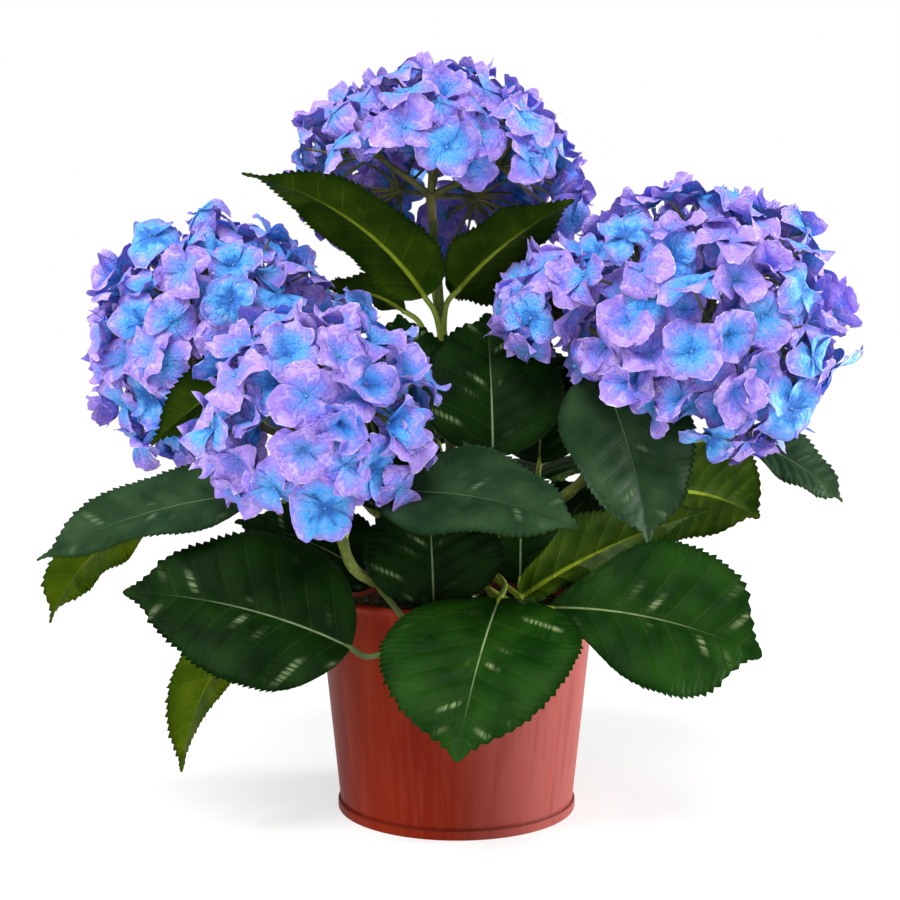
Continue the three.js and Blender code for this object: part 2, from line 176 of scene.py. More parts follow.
def tube(path, radii, sides, relief=None):
    """Points and faces of a tube with closed ends. relief(row, angles) multiplies its radius."""
    path = np.asarray(path, dtype=float)
    along = np.gradient(path, axis=0)
    along /= np.linalg.norm(along, axis=1, keepdims=True)
    angles = np.arange(sides) * TURN / sides
    u = cross_axes(along[0])[0]
    rings = []
    for row, (middle, ahead, radius) in enumerate(zip(path, along, radii)):
        u = unit(u - ahead * np.dot(u, ahead))
        reach = radius * (relief(row, angles) if relief else np.ones(sides))
        rings.append(middle + circle(angles, reach, u, np.cross(ahead, u)))
    return np.concatenate(rings), tube_faces(len(path), sides)


def gather(parts):
    """Joins (points, faces) pairs into one."""
    points, faces, start = [], [], 0
    for some, theirs in parts:
        points.append(some)
        faces += [f + start for f in theirs]
        start += len(some)
    return np.concatenate(points), faces


def length_of(path):
    return np.linalg.norm(np.diff(path, axis=0), axis=1).sum()


short = tube([[0, 0, 0], [0, 0, 5], [0, 0, 10]], [1, 1, 1], 6)[0]
print("a short tube has", len(short), "points and is", length_of(short[::6]), "mm long")

# %% [markdown]
# ## A workshop for finishes
#
# A finish is a material made of nodes. Most of them here need the same few steps: some noise at the
# right scale, a line where a number passes a limit, one colour laid over another, and a bump. A
# small class keeps those steps to one line each. Numbers that don't vary are set straight on the
# shader.

# %% The finish class
class Finish:
    """A material built node by node."""

    def __init__(self, name, **constants):
        self.material = bpy.data.materials.new(name)
        self.material.use_nodes = True
        self.tree = self.material.node_tree
        self.tree.nodes.clear()
        self.shader = self.node("ShaderNodeBsdfPrincipled")
        output = self.node("ShaderNodeOutputMaterial")
        self.tree.links.new(self.shader.outputs["BSDF"], output.inputs["Surface"])
        for socket, value in constants.items():
            self.shader.inputs[socket.replace("_", " ")].default_value = value

    def node(self, kind, **settings):
        node = self.tree.nodes.new(kind)
        for key, value in settings.items():
            setattr(node, key, value)
        return node

    def feed(self, socket, value):
        if isinstance(value, bpy.types.NodeSocket):
            self.tree.links.new(value, socket)
        elif isinstance(value, tuple) and len(value) == 3 and socket.type == "RGBA":
            socket.default_value = (*value, 1)
        else:
            socket.default_value = value

    def maths(self, operation, *values):
        """A Math node, named by its operation."""
        node = self.node("ShaderNodeMath", operation=operation)
        for socket, value in zip(node.inputs, values):
            self.feed(socket, value)
        return node.outputs[0]

    def times(self, product, *others):
        """The product of two or more numbers."""
        for other in others:
            product = self.maths("MULTIPLY", product, other)
        return product

    def gap(self, first, second):
        """How far apart two numbers are."""
        return self.maths("ABSOLUTE", self.maths("SUBTRACT", first, second))

    def split(self, vector):
        """The three numbers of a vector."""
        node = self.node("ShaderNodeSeparateXYZ")
        self.feed(node.inputs[0], vector)
        return node.outputs[0], node.outputs[1], node.outputs[2]

    def pair(self, x, y):
        """A flat point from two numbers."""
        node = self.node("ShaderNodeCombineXYZ")
        self.feed(node.inputs[0], x)
        self.feed(node.inputs[1], y)
        return node.outputs[0]

    def step(self, value, low, high, start=0.0, end=1.0):
        """Runs smoothly from start to end as value goes from low to high."""
        node = self.node("ShaderNodeMapRange", interpolation_type="SMOOTHSTEP")
        for socket, number in zip(node.inputs, (value, low, high, start, end)):
            self.feed(socket, number)
        return node.outputs["Result"]

    def blend(self, share, first, second):
        """The first colour, with a share of the second laid over it."""
        node = self.node("ShaderNodeMix", data_type="RGBA")
        self.feed(node.inputs[0], share)
        self.feed(node.inputs[6], first)
        self.feed(node.inputs[7], second)
        return node.outputs[2]

    def noise(self, place, scale, detail=3.0, stretch=(1, 1, 1)):
        mapping = self.node("ShaderNodeMapping")
        mapping.inputs["Scale"].default_value = stretch
        self.feed(mapping.inputs["Vector"], place)
        node = self.node("ShaderNodeTexNoise")
        self.feed(node.inputs["Vector"], mapping.outputs[0])
        node.inputs["Scale"].default_value = scale
        node.inputs["Detail"].default_value = detail
        return node.outputs["Fac"]

    def bump(self, height, depth, onto=None):
        """Raises the surface by height, 0 to 1, times a depth in millimetres."""
        node = self.node("ShaderNodeBump")
        node.inputs["Distance"].default_value = depth * MM
        self.feed(node.inputs["Height"], height)
        if onto is not None:
            self.feed(node.inputs["Normal"], onto)
        return node.outputs[0]

    def place(self):
        """The point on the plant, in metres."""
        return self.node("ShaderNodeTexCoord").outputs["Object"]

    def mark(self, name):
        """The three numbers of a mark."""
        return self.split(self.node("ShaderNodeAttribute", attribute_name=name).outputs["Vector"])

    def wear(self, **sockets):
        """Feeds the shader's sockets and returns the material."""
        for socket, value in sockets.items():
            self.feed(self.shader.inputs[socket.replace("_", " ")], value)
        return self.material


print("finish workshop ready")

# %% [markdown]
# ## The pot's paint
#
# The pot is thin sheet metal under a matt terracotta-coloured paint. The paint is brushed or wiped
# upright, which leaves faint streaks of lighter and darker tone, and a fine grain that softens the
# shine. Noise that is stretched along the height gives the streaks; the same streaks raise the paint
# a few hundredths of a millimetre. On the side towards +X a pinker tone is a painted sheen, standing
# in for light from that side, and the joint above the base ring holds some dark dust.

# %% Pot paint
POT = dict(height=122, foot=64, mouth=76, wall=1.8,
           ring_height=5, ring_proud=1.3, bead=1.6, edge=0.7)


def pot_paint():
    finish = Finish("pot_paint", Specular_IOR_Level=0.08)
    brick, terracotta, pot_sheen_pink = (0.176, 0.0085, 0.0004), (0.210, 0.0155, 0.0009), (0.31, 0.072, 0.062)
    light_streak, dark_streak, dust = (0.29, 0.045, 0.022), (0.15, 0.010, 0.002), (0.09, 0.016, 0.008)
    place = finish.place()
    across, _, height = finish.split(place)
    streaks = finish.noise(place, 150, 4, stretch=(1, 1, 0.035))
    clouds = finish.noise(place, 16, 3, stretch=(1, 1, 0.5))
    grain = finish.noise(place, 1500, 2)
    sheen_side = finish.maths("ADD", across, finish.times(clouds, 0.03))
    tone = finish.blend(finish.step(clouds, 0.3, 0.7), brick, terracotta)
    # The pinker tone towards +X is a painted sheen that stands in for light from that side.
    tone = finish.blend(finish.step(sheen_side, 0.005, 0.062), tone, pot_sheen_pink)
    tone = finish.blend(finish.step(streaks, 0.45, 0.68, 0, 0.3), tone, light_streak)
    tone = finish.blend(finish.step(streaks, 0.34, 0.48, 0.3, 0), tone, dark_streak)
    joint = finish.step(finish.gap(height, POT["ring_height"] * MM), 0.0002, 0.0009, 0.45, 0)
    tone = finish.blend(joint, tone, dust)
    rough = finish.step(grain, 0.3, 0.7, 0.42, 0.54)
    relief = finish.bump(streaks, 0.06, onto=finish.bump(grain, 0.05))
    return finish.wear(Base_Color=tone, Roughness=rough, Normal=relief)


pot_finish = pot_paint()
print("pot paint nodes:", len(pot_finish.node_tree.nodes))

# %% [markdown]
# ## The pot
#
# A spun or rolled metal pot is a solid of revolution: one profile turned round its axis. The profile
# runs from the middle of the underside, out round the low base ring, up the straight wall to the
# rolled rim, and down inside to where the filler hides it. Short runs of points round each bend keep
# its edges soft, as bent sheet is.

# %% Turn a profile round the axis
def turned(profile, sides):
    """Points and faces of a profile of (radius, height) pairs turned round Z."""
    angles = np.arange(sides) * TURN / sides
    x_axis, y_axis, z_axis = np.eye(3)
    rings = [circle(angles, radius, x_axis, y_axis) + z_axis * height for radius, height in profile]
    return np.concatenate(rings), tube_faces(len(profile), sides)


def bend(centre, radius, start, end, steps=6):
    """Points of an arc in the profile's plane, angles in degrees."""
    turns = np.radians(np.linspace(start, end, steps))
    return [(centre[0] + radius * math.cos(t), centre[1] + radius * math.sin(t)) for t in turns]


def wall_radius(height):
    share = (height - POT["ring_height"]) / (POT["height"] - POT["ring_height"])
    return POT["foot"] + (POT["mouth"] - POT["foot"]) * share


print("wall radius at half height: %.1f mm" % wall_radius(POT["height"] / 2))

# %% Make the pot
def pot_profile():
    foot, top, ring_top, inner_floor, axis = POT["foot"], POT["height"], POT["ring_height"], 90, 0.5
    ring, edge, bead = foot + POT["ring_proud"], POT["edge"], POT["bead"]
    underside = [(axis, 0), (ring - 8, 0), (ring - 3, 0)]
    low_ring = bend((ring - edge, edge), edge, -90, 0) + bend((ring - edge, ring_top - edge), edge, 0, 90)
    groove = [(foot - 0.35, ring_top + 0.05), (foot - 0.4, ring_top + 0.5), (foot, ring_top + 1.0)]
    outside = [(wall_radius(z), z) for z in np.linspace(ring_top + 2, top - 3.6 * bead, 24)]
    rim = bend((wall_radius(top) - 0.1, top - bead), bead, -70, 200, 14)
    inside = [(wall_radius(z) - POT["wall"], z) for z in np.linspace(top - 2 * bead, inner_floor, 6)]
    return [*underside, *low_ring, *groove, *outside, *rim, *inside, (axis, inner_floor)]


pot = make_piece("pot_tin", "pot_paint", *turned(pot_profile(), 160), [pot_finish], "pot")

# %% [markdown]
# ## The moss
#
# Such a pot is weighted with cement, and a little dried moss hides it. Moss is a low lumpy mat with
# stray fibres. The mat is the turned mound with its points raised by layered waves; the fibres are
# some hundreds of thin curling strands scattered over it, joined into the same mesh.

# %% Moss finish
def moss():
    finish = Finish("moss", Roughness=0.95, Specular_IOR_Level=0.2)
    peat, litter, straw = (0.030, 0.022, 0.010), (0.090, 0.070, 0.026), (0.17, 0.14, 0.05)
    place = finish.place()
    lumps = finish.noise(place, 180, 5)
    fibres = finish.noise(place, 900, 4, stretch=(1, 0.3, 1))
    tone = finish.blend(finish.step(lumps, 0.35, 0.65), peat, litter)
    tone = finish.blend(finish.step(fibres, 0.5, 0.75, 0, 0.6), tone, straw)
    relief = finish.bump(fibres, 0.6, onto=finish.bump(lumps, 1.5))
    return finish.wear(Base_Color=tone, Normal=relief)


moss_finish = moss()
print("moss nodes:", len(moss_finish.node_tree.nodes))

# %% Make the moss
FILLER = dict(top=107, mound=6, flat=16, gap=0.3)
FIBRES = dict(count=900, spread=68, joints=5, sunk=0.8)
MOUND_EDGE = wall_radius(FILLER["top"]) - POT["wall"] - FILLER["gap"]


def mound_height(radius):
    """Height of the filler at a distance from the middle."""
    share = np.clip((radius - FILLER["flat"]) / (MOUND_EDGE - FILLER["flat"]), 0, 1)
    return FILLER["top"] + FILLER["mound"] * (1 - share**1.6)


def moss_mat():
    """The mound, with small waves of five lengths and headings laid over each other."""
    points, faces = turned([(r, mound_height(r)) for r in np.linspace(0.8, MOUND_EDGE, 60)], 120)
    waves = ((0.35, 0.4), (0.5, 1.9), (0.8, 3.0), (1.3, 5.1), (1.9, 2.3))
    x, y = points[:, 0], points[:, 1]
    lumps = sum(np.sin(x * k * math.cos(a) + y * k * math.sin(a) + a * 7) / k for k, a in waves)
    points[:, 2] += 0.32 * lumps - 0.6
    return points, faces[:1]


def moss_fibre(draws):
    """One short curling strand."""
    radius, turn, heading = FIBRES["spread"] * math.sqrt(draws()), TURN * draws(), 360 * draws()
    height = mound_height(radius) - FIBRES["sunk"]
    path = [np.array([radius * math.cos(turn), radius * math.sin(turn), height])]
    length, curl, joints = 4 + 7 * draws(), 160 * (draws() - 0.5), FIBRES["joints"]
    for k in range(joints):
        path.append(path[-1] + towards(heading + curl * k / joints, 38 - 22 * k) * length / joints)
    return tube(path, np.linspace(0.35, 0.12, joints + 1), 3)


def make_moss():
    draws = seeded_draws(7)
    points, faces = gather([moss_mat()] + [moss_fibre(draws) for _ in range(FIBRES["count"])])
    return make_piece("pot_moss", "moss_filler", points, faces, [moss_finish], "pot_filler")


mat = make_moss()
print("moss faces:", len(mat.data.polygons))

# %% [markdown]
# ## The stems' plastic
#
# The stems are wire in a skin of moulded plastic. It is olive green, lighter and yellower in patches,
# and scattered with tiny pale specks like the pores of a young shrub's bark. Two noises of different
# size make the patches and a fine grain, and a cell pattern makes the specks.

# %% Stem finish
def stem_plastic():
    finish = Finish("stem_plastic", Specular_IOR_Level=0.25)
    olive, yellowish = (0.052, 0.080, 0.010), (0.135, 0.172, 0.024)
    pore, worn = (0.42, 0.42, 0.17), (0.06, 0.075, 0.02)
    place = finish.place()
    patches = finish.noise(place, 60, 3)
    grain = finish.noise(place, 700, 3)
    pores = finish.node("ShaderNodeTexVoronoi")
    finish.feed(pores.inputs["Vector"], place)
    pores.inputs["Scale"].default_value = 330
    speck = finish.step(pores.outputs["Distance"], 0.14, 0.3, 1, 0)
    tone = finish.blend(finish.step(patches, 0.3, 0.7), olive, yellowish)
    tone = finish.blend(finish.times(speck, 0.35), tone, pore)
    tone = finish.blend(finish.step(grain, 0.55, 0.75, 0, 0.45), tone, worn)
    relief = finish.bump(speck, 0.25, onto=finish.bump(grain, 0.18))
    return finish.wear(Base_Color=tone, Roughness=finish.step(grain, 0.3, 0.7, 0.45, 0.65), Normal=relief)


stem_finish = stem_plastic()
print("stem plastic nodes:", len(stem_finish.node_tree.nodes))

# %% [markdown]
# ## Trunk and stems
#
# All the stems leave one short trunk, just above the moss. Each is a smooth curve with two held
# ends: it leaves the fork in one direction and arrives under its flower head in another, which is
# what a Bezier curve does. The shoot in the middle bears leaves only. A head has a hub, one stalk's
# length above its stem's end, and one or two domes of florets. Each dome has a centre, the heading
# and lean of its crown, its reach across and along, and a spread in degrees round from the crown.

# %% Stem and head measures
STEM = dict(root=3.4, tip=2.3, stalk=14)
TRUNK = dict(foot=11, waist=8, top=7, height=22, fork=0.5)
TRUNK_FOOT = FILLER["top"] + FILLER["mound"] + FILLER["gap"]
FORK = np.array([0, 0, TRUNK_FOOT + TRUNK["height"] * TRUNK["fork"]])

STEMS = {
    "top": dict(leave=(90, 86), arrive=(150, 85), root_hold=0.3, tip_hold=0.3),
    "left": dict(leave=(170, 40), arrive=(165, 52), root_hold=0.35, tip_hold=0.3),
    "front": dict(leave=(-127, 6), arrive=(170, 80), root_hold=0.85, tip_hold=0.42),
    "right": dict(leave=(0, 40), arrive=(-20, 60), root_hold=0.3, tip_hold=0.3),
    "shoot": dict(leave=(-62, 4), arrive=(90, 86), root_hold=0.7, tip_hold=0.45, tip=[20, -37, 166]),
}

HEADS = {
    "top": dict(hub=[-14, 8, 334], seed=11, domes=[
        dict(centre=[-12, 14, 337], heading=74, lean=24, across=77, along=61, spread=102, florets=33),
    ]),
    "left": dict(hub=[-117, 28, 238], seed=22, domes=[
        dict(centre=[-133, 30, 253], heading=165, lean=38, across=70, along=70, spread=132, florets=36),
    ]),
    "front": dict(hub=[-64, -78, 199], seed=33, domes=[
        dict(centre=[-69, -88, 219], heading=-110, lean=28, across=57, along=56, spread=118, florets=21),
    ]),
    "right": dict(hub=[112, -24, 238], seed=44, domes=[
        dict(centre=[125, -32, 264], heading=-20, lean=30, across=75, along=72, spread=132, florets=40),
        dict(centre=[48, -34, 275], heading=-165, lean=60, across=24, along=20, spread=112, florets=6),
    ]),
}
print("stems:", *STEMS, "heads:", *HEADS)

# %% The stems' curves
def stem_curve(name):
    """The stem's middle line, as a function from 0 at the fork to 1 at its tip."""
    stem = STEMS[name]
    ahead = towards(*stem["arrive"])
    tip = np.array(stem["tip"]) if "tip" in stem else np.array(HEADS[name]["hub"]) - ahead * STEM["stalk"]
    span = np.linalg.norm(tip - FORK)
    root = FORK + towards(*stem["leave"]) * span * stem["root_hold"]
    neck = tip - ahead * span * stem["tip_hold"]

    def at(t):
        t = np.atleast_1d(t)[:, None]
        return (1 - t)**3 * FORK + 3 * (1 - t)**2 * t * root + 3 * (1 - t) * t**2 * neck + t**3 * tip

    return at


for name in STEMS:
    print("stem", name, "length %.0f mm" % length_of(stem_curve(name)(np.linspace(0, 1, 50))))

# %% [markdown]
# ## The leaves' places
#
# Each leaf is listed with the stem that carries it, how far up that stem its petiole joins, where
# the blade's foot is, and how the blade is set: its heading and rise, how much it droops to the tip
# and how it is rolled about its midrib, all in degrees, then its length and width. A petiole that
# has to go round something passes a point on its way, and a blade that isn't broadest where the
# others are has a number of its own for that.

# %% Leaf table
def placed(stem, at, foot, heading, rise, droop, roll, length, width, **more):
    return dict(stem=stem, at=at, foot=foot, heading=heading, rise=rise, droop=droop, roll=roll,
                length=length, width=width, **more)


LEAVES = {
    "upper_left": placed("top", 0.58, (-17, -10, 279), -157, 55, 46, -35, 121, 50, broadest=0.52),
    "upper_right": placed("top", 0.63, (1, -8, 283), -27, 46, 23, 28, 81, 46, broadest=0.6),
    "upper_back_right": placed("top", 0.66, (-4, 14, 297), 32, -1, 47, 48, 58, 48),
    "upper_back_left": placed("top", 0.5, (-28, 16, 271), 157, 35, 40, -37, 51, 28),
    "left": placed("left", 0.5, (-101, -50, 178), -170, -2, 27, 30, 118, 54),
    "left_hanging": placed("left", 0.45, (-161, -14, 161), -155, -12, 60, -50, 82, 52),
    "left_back": placed("left", 0.55, (-96, 60, 175), 139, 1, 50, -4, 102, 58),
    "between": placed("top", 0.53, (-77, -36, 257), -162, -22, 21, -69, 98, 43),
    "low_left": placed("front", 0.36, (-53, -84, 105), 178, 26, 25, 55, 118, 83, via=(-25, -86, 112)),
    "low_left_hanging": placed("left", 0.12, (-87, -37, 122), -160, -26, 60, -47, 111, 55,
        via=(-72, -26, 127)),
    "low_left_back": placed("left", 0.16, (-72, 56, 134), 142, 8, 60, 0, 110, 76),
    "front": placed("shoot", 0.5, (21, -86, 130), -108, -28, 29, -2, 95, 100),
    "low_right": placed("shoot", 0.42, (45, -78, 124), -5, 2, 28, -54, 110, 84, broadest=1.25,
        via=(31, -67, 128)),
    "low_right_back": placed("right", 0.16, (78, 43, 133), 30, 6, 58, -2, 101, 73),
    "low_back": placed("top", 0.16, (-4, 88, 132), 88, 4, 60, 0, 108, 80),
    "middle": placed("front", 0.75, (-40, -85, 182), -19, 8, 30, -28, 105, 72),
    "right_centre": placed("right", 0.66, (74, -34, 240), -52, -54, 25, -10, 94, 80),
    "right_hanging": placed("right", 0.6, (107, -1, 173), 32, 3, 34, 62, 81, 74),
    "right_back": placed("right", 0.52, (92, 46, 190), 62, 10, 55, 0, 104, 68),
    "far_right": placed("right", 0.72, (160, 4, 200), -2, -18, 29, -37, 61, 42),
    "under_right": placed("shoot", 0.3, (33, -46, 124), 14, 32, 20, 45, 112, 64),
    "centre_up": placed("top", 0.35, (19, -28, 195), 95, 83, 32, -1, 83, 76),
    "centre_left": placed("top", 0.42, (-22, -23, 214), 115, 84, 32, 4, 61, 55),
    "centre_right": placed("right", 0.45, (45, 0, 189), 76, 80, 28, -3, 72, 60),
    "centre_middle": placed("top", 0.25, (-34, -16, 164), 110, 84, 25, 0, 62, 60),
    "centre_low_left": placed("front", 0.2, (-12, -62, 121), 103, 84, 15, 0, 68, 72),
    "centre_low_right": placed("shoot", 0.2, (34, -20, 126), 85, 84, 15, 0, 64, 62),
    "low_left_inner": placed("left", 0.2, (-42, -28, 128), 168, 36, 30, 30, 86, 62),
    "low_right_inner": placed("right", 0.2, (45, 1, 134), 50, 45, 30, -9, 78, 64),
    "centre_back": placed("top", 0.3, (-10, 40, 196), 100, 30, 60, 0, 110, 76),
    "back_left": placed("left", 0.38, (-56, 50, 172), 112, 18, 60, -5, 98, 70),
    "back_right": placed("right", 0.36, (44, 44, 174), 76, 22, 60, 5, 96, 70),
    "back_upper": placed("top", 0.46, (8, 26, 238), 82, 16, 60, 0, 90, 62),
}

# Which leaves differ from the rest: greyer above, a painted sheen; fresher above; yellow-green below,
# a lighter copy painted as lit; and darker at the stalk, a copy painted as in shade.
GREY_SHEEN = {"middle", "right_centre", "far_right", "left"}
FRESH = {"front", "low_right", "centre_back", "back_right", "low_back"}
LIT_BELOW = {"left_hanging", "low_left_hanging", "far_right"}
SHADED_PETIOLES = {"low_left", "low_left_inner", "centre_low_left", "centre_left", "low_left_back"}
print("leaves:", len(LEAVES))

# %% [markdown]
# ## Stems with knots
#
# A bare tube would look like wire. The real ones swell a little at each joint where a petiole
# leaves, carry slight ridges and thicken towards the fork. All of that is a factor on the radius.

# %% Make the stems
KNOT = dict(width=3.2, swelling=0.22)


def stem_piece(name, rows=90, sides=20):
    shares = np.linspace(0, 1, rows)
    path = stem_curve(name)(shares)
    joints = [leaf["at"] for leaf in LEAVES.values() if leaf["stem"] == name]
    length, phase = length_of(path), len(name) * 1.7

    def relief(row, angles):
        knot = sum(math.exp(-(((shares[row] - at) * length / KNOT["width"]) ** 2)) for at in joints)
        ridges = 0.035 * np.sin(5 * angles + phase + 0.1 * row) + 0.03 * np.sin(2 * angles - 0.23 * row)
        return 1 + ridges + KNOT["swelling"] * min(knot, 1) + 0.025 * math.sin(row * 0.9 + phase)

    radii = np.linspace(STEM["root"], STEM["tip"], rows)
    stem = tube(path, radii, sides, relief)
    return make_piece("stem_%s_bark" % name, "stem_plastic", *stem, [stem_finish], "stem_" + name)


stems = {name: stem_piece(name) for name in STEMS}
print("stem faces:", faces_of(stems))

# %% Make the trunk
def make_trunk():
    shares = np.linspace(0, 1, 40)
    flare = (TRUNK["foot"] - TRUNK["waist"]) * (1 - shares)**3
    radii = flare + TRUNK["waist"] + (TRUNK["top"] - TRUNK["waist"]) * shares
    path = [[0, 0, TRUNK_FOOT + TRUNK["height"] * share] for share in shares]

    def folds(row, angles):
        return 1 + 0.07 * np.sin(5 * angles + 0.04 * row) + 0.03 * np.sin(11 * angles - 0.1 * row)

    bark = tube(path, radii, 40, folds)
    return make_piece("trunk_bark", "stem_plastic", *bark, [stem_finish], "trunk")


trunk = make_trunk()
print("trunk faces:", len(trunk.data.polygons))

# %% [markdown]
# ## The leaves' cloth
#
# The upper side is printed and waxed: a dark green, paler along the midrib and the side veins, with
# short waxed strokes on some of the panels between the veins. The strokes are glossier, and their
# lighter colour is a painted highlight. Some leaves wear a greyer copy of the upper side, whose
# greyness is a painted sheen. The underside is the bare cloth, duller and yellower; a few undersides
# wear a lighter yellow-green copy, painted as lit. Both sides are one recipe with other colours. The
# side veins are not painted by hand: each point of the blade carries a number that grows by one from
# vein to vein, and the finish draws a line wherever that number is whole. The whole part of the
# number tells the panels apart, so that some are waxed and others aren't. The petioles are plastic,
# like the stems; those of some leaves deep in the plant wear a darker copy, painted as in shade.

# %% Petiole finishes
def mottled(name, dull, fresh, patches, grain, depth, **constants):
    """Plastic in patches of two tones; patches and grain are each a noise's scale and detail."""
    finish = Finish(name, **constants)
    place = finish.place()
    tone = finish.blend(finish.step(finish.noise(place, *patches), 0.35, 0.65), dull, fresh)
    return finish.wear(Base_Color=tone, Normal=finish.bump(finish.noise(place, *grain), depth))


# The darker copy is the same plastic painted as in shade, for petioles deep in the plant.
petiole_tones = {
    "petiole_lime": ((0.12, 0.18, 0.014), (0.34, 0.43, 0.045)),
    "petiole_painted_shade": ((0.030, 0.055, 0.008), (0.075, 0.115, 0.020)),
}
petiole_lime, petiole_painted_shade = [
    mottled(name, *tones, patches=(45, 3), grain=(900, 2), depth=0.1, Roughness=0.5, Specular_IOR_Level=0.3)
    for name, tones in petiole_tones.items()
]
print("petiole finishes:", petiole_lime.name, petiole_painted_shade.name)

# %% Leaf finish
def leaf_cloth(name, shade, light, rib, veins, rib_width, rib_fade, painted_glint, gloss):
    """Three colours, how strongly the veins show, the midrib's width in mm and how much of it is left
    at the tip, how strongly the painted highlight of the wax strokes shows, and the cloth's own gloss."""
    finish = Finish(name, Specular_IOR_Level=gloss)
    vein_count, edge, along = finish.mark("veins")
    across_mm, along_mm, _ = finish.mark("measure")
    flat = finish.pair(across_mm, along_mm)
    clouds, wear = finish.noise(flat, 0.04, 3), finish.noise(flat, 0.055, 2)
    grain = finish.noise(flat, 2.2, 3)
    ladder = finish.noise(finish.pair(vein_count, across_mm), 1.0, 3, stretch=(0.9, 0.75, 1))
    panel = finish.pair(finish.maths("FLOOR", vein_count), across_mm)
    patch = finish.step(finish.noise(panel, 1.0, 1, stretch=(1.7, 0.025, 1)), 0.51, 0.62)

    # Side veins fade towards the rim, and the midrib narrows and fades towards the tip.
    phase = finish.maths("FRACT", vein_count)
    off_vein = finish.maths("SUBTRACT", 0.5, finish.gap(phase, 0.5))
    vein = finish.times(finish.step(off_vein, 0.01, 0.06, 1, 0), finish.step(edge, 0.3, 1, 1, 0.1),
                        finish.step(clouds, 0.35, 0.65, 0.3, 1))
    rib_half = finish.step(along, 0, 1, rib_width, 0.25)
    off_rib = finish.maths("DIVIDE", finish.maths("ABSOLUTE", across_mm), rib_half)
    midrib = finish.times(finish.step(off_rib, 0.6, 1.2, 1, 0), finish.step(wear, 0.30, 0.55, 0.35, 1),
                          finish.step(along, 0.25, 0.9, 1, rib_fade))

    # A panel is waxed on its slope towards the tip, in patches, and the wax lies in short strokes.
    # The strokes are glossier, and their lighter colour is a painted highlight.
    slope = finish.step(finish.gap(phase, 0.28), 0.03, 0.22, 1, 0)
    off_rim, off_middle = finish.step(edge, 0.75, 0.97, 1, 0), finish.step(edge, 0.04, 0.16)
    stroke = finish.step(ladder, 0.40, 0.58, 0.12, 1)
    wax_and_painted_glint = finish.times(slope, patch, off_rim, off_middle, stroke)

    tone = finish.blend(finish.step(clouds, 0.28, 0.72), shade, light)
    tone = finish.blend(finish.step(grain, 0.5, 0.75, 0, 0.5), tone, shade)
    tone = finish.blend(finish.times(patch, finish.step(ladder, 0.42, 0.7, 0, 0.5)), tone, light)
    tone = finish.blend(finish.step(edge, 0.8, 1.0, 0, 0.6), tone, shade)
    for line, strength in ((vein, veins), (wax_and_painted_glint, painted_glint), (midrib, 0.9)):
        tone = finish.blend(finish.times(line, strength), tone, rib)
    relief = finish.bump(ladder, 0.22, onto=finish.bump(grain, 0.06))
    relief = finish.bump(vein, 0.3, onto=relief)
    return finish.wear(Base_Color=tone, Roughness=finish.step(wax_and_painted_glint, 0, 1, 0.5, 0.25), Normal=relief)


LEAF_CLOTHS = {
    "leaf_upper": dict(shade=(0.0006, 0.008, 0.0003), light=(0.0055, 0.027, 0.0010), rib=(0.20, 0.27, 0.13),
                       veins=0.05, rib_width=0.6, rib_fade=0.0, painted_glint=0.7, gloss=0.05),
    "leaf_upper_fresh": dict(shade=(0.0010, 0.018, 0.0004), light=(0.0125, 0.052, 0.0025),
                             rib=(0.24, 0.32, 0.13), veins=0.06, rib_width=0.6, rib_fade=0.0,
                             painted_glint=0.75, gloss=0.05),
    # A greyer copy of the upper side, whose greyness is a painted sheen.
    "leaf_upper_grey_sheen": dict(shade=(0.008, 0.027, 0.009), light=(0.030, 0.066, 0.025), rib=(0.12, 0.18, 0.09),
                             veins=0.03, rib_width=0.4, rib_fade=0.0, painted_glint=0.75, gloss=0.04),
    "leaf_lower": dict(shade=(0.008, 0.028, 0.0010), light=(0.038, 0.070, 0.003), rib=(0.24, 0.32, 0.02),
                       veins=0.12, rib_width=1.7, rib_fade=0.05, painted_glint=0.06, gloss=0.02),
    # A lighter yellow-green copy of the underside, painted as lit.
    "leaf_lower_painted_lit": dict(shade=(0.030, 0.075, 0.0015), light=(0.105, 0.165, 0.004),
                              rib=(0.19, 0.26, 0.02), veins=0.3, rib_width=1.5, rib_fade=0.4,
                              painted_glint=0.06, gloss=0.02),
}
leaf_finishes = {name: leaf_cloth(name, **cloth) for name, cloth in LEAF_CLOTHS.items()}
print("leaf finishes:", *leaf_finishes)

# %% [markdown]
# ## A blade of leaf
#
# A leaf is a sheet, so it could be a flat cut-out with a picture of veins. Up close, though, what
# makes a hydrangea leaf is its relief: the midrib stands proud, the side veins run from it in arches
# with the cloth puffed up between them, the rim is toothed and waves a little. So the blade is a
# fine grid: rows from foot to tip, three to each tooth, and columns from rim to rim, close together
# at the midrib. Each tooth has a depth of its own.

# %% Frames along a leaf
LEAF = dict(petiole=1.5, tip=0.4, fold=0.22, neck=10, broadest=0.72, fullness=0.75, skin=0.22,
            petiole_rows=20, petiole_sides=12)


def blade_frames(leaf, rows):
    """Share of the length, middle, side, upward and forward direction at each row of a blade."""
    def ahead_at(shares):
        return np.array([towards(leaf["heading"], leaf["rise"] - leaf["droop"] * s) for s in shares])

    shares = np.linspace(0, 1, rows + 1)
    ahead, level = ahead_at(shares), towards(leaf["heading"] + 90, 0)
    roll = math.radians(leaf["roll"])
    side = level * math.cos(roll) - np.cross(ahead, level) * math.sin(roll)
    strides = ahead_at((shares[:-1] + shares[1:]) / 2) * leaf["length"] / rows
    middle = np.array(leaf["foot"]) + np.vstack([np.zeros(3), np.cumsum(strides, axis=0)])
    return shares, middle, side, np.cross(ahead, side), ahead


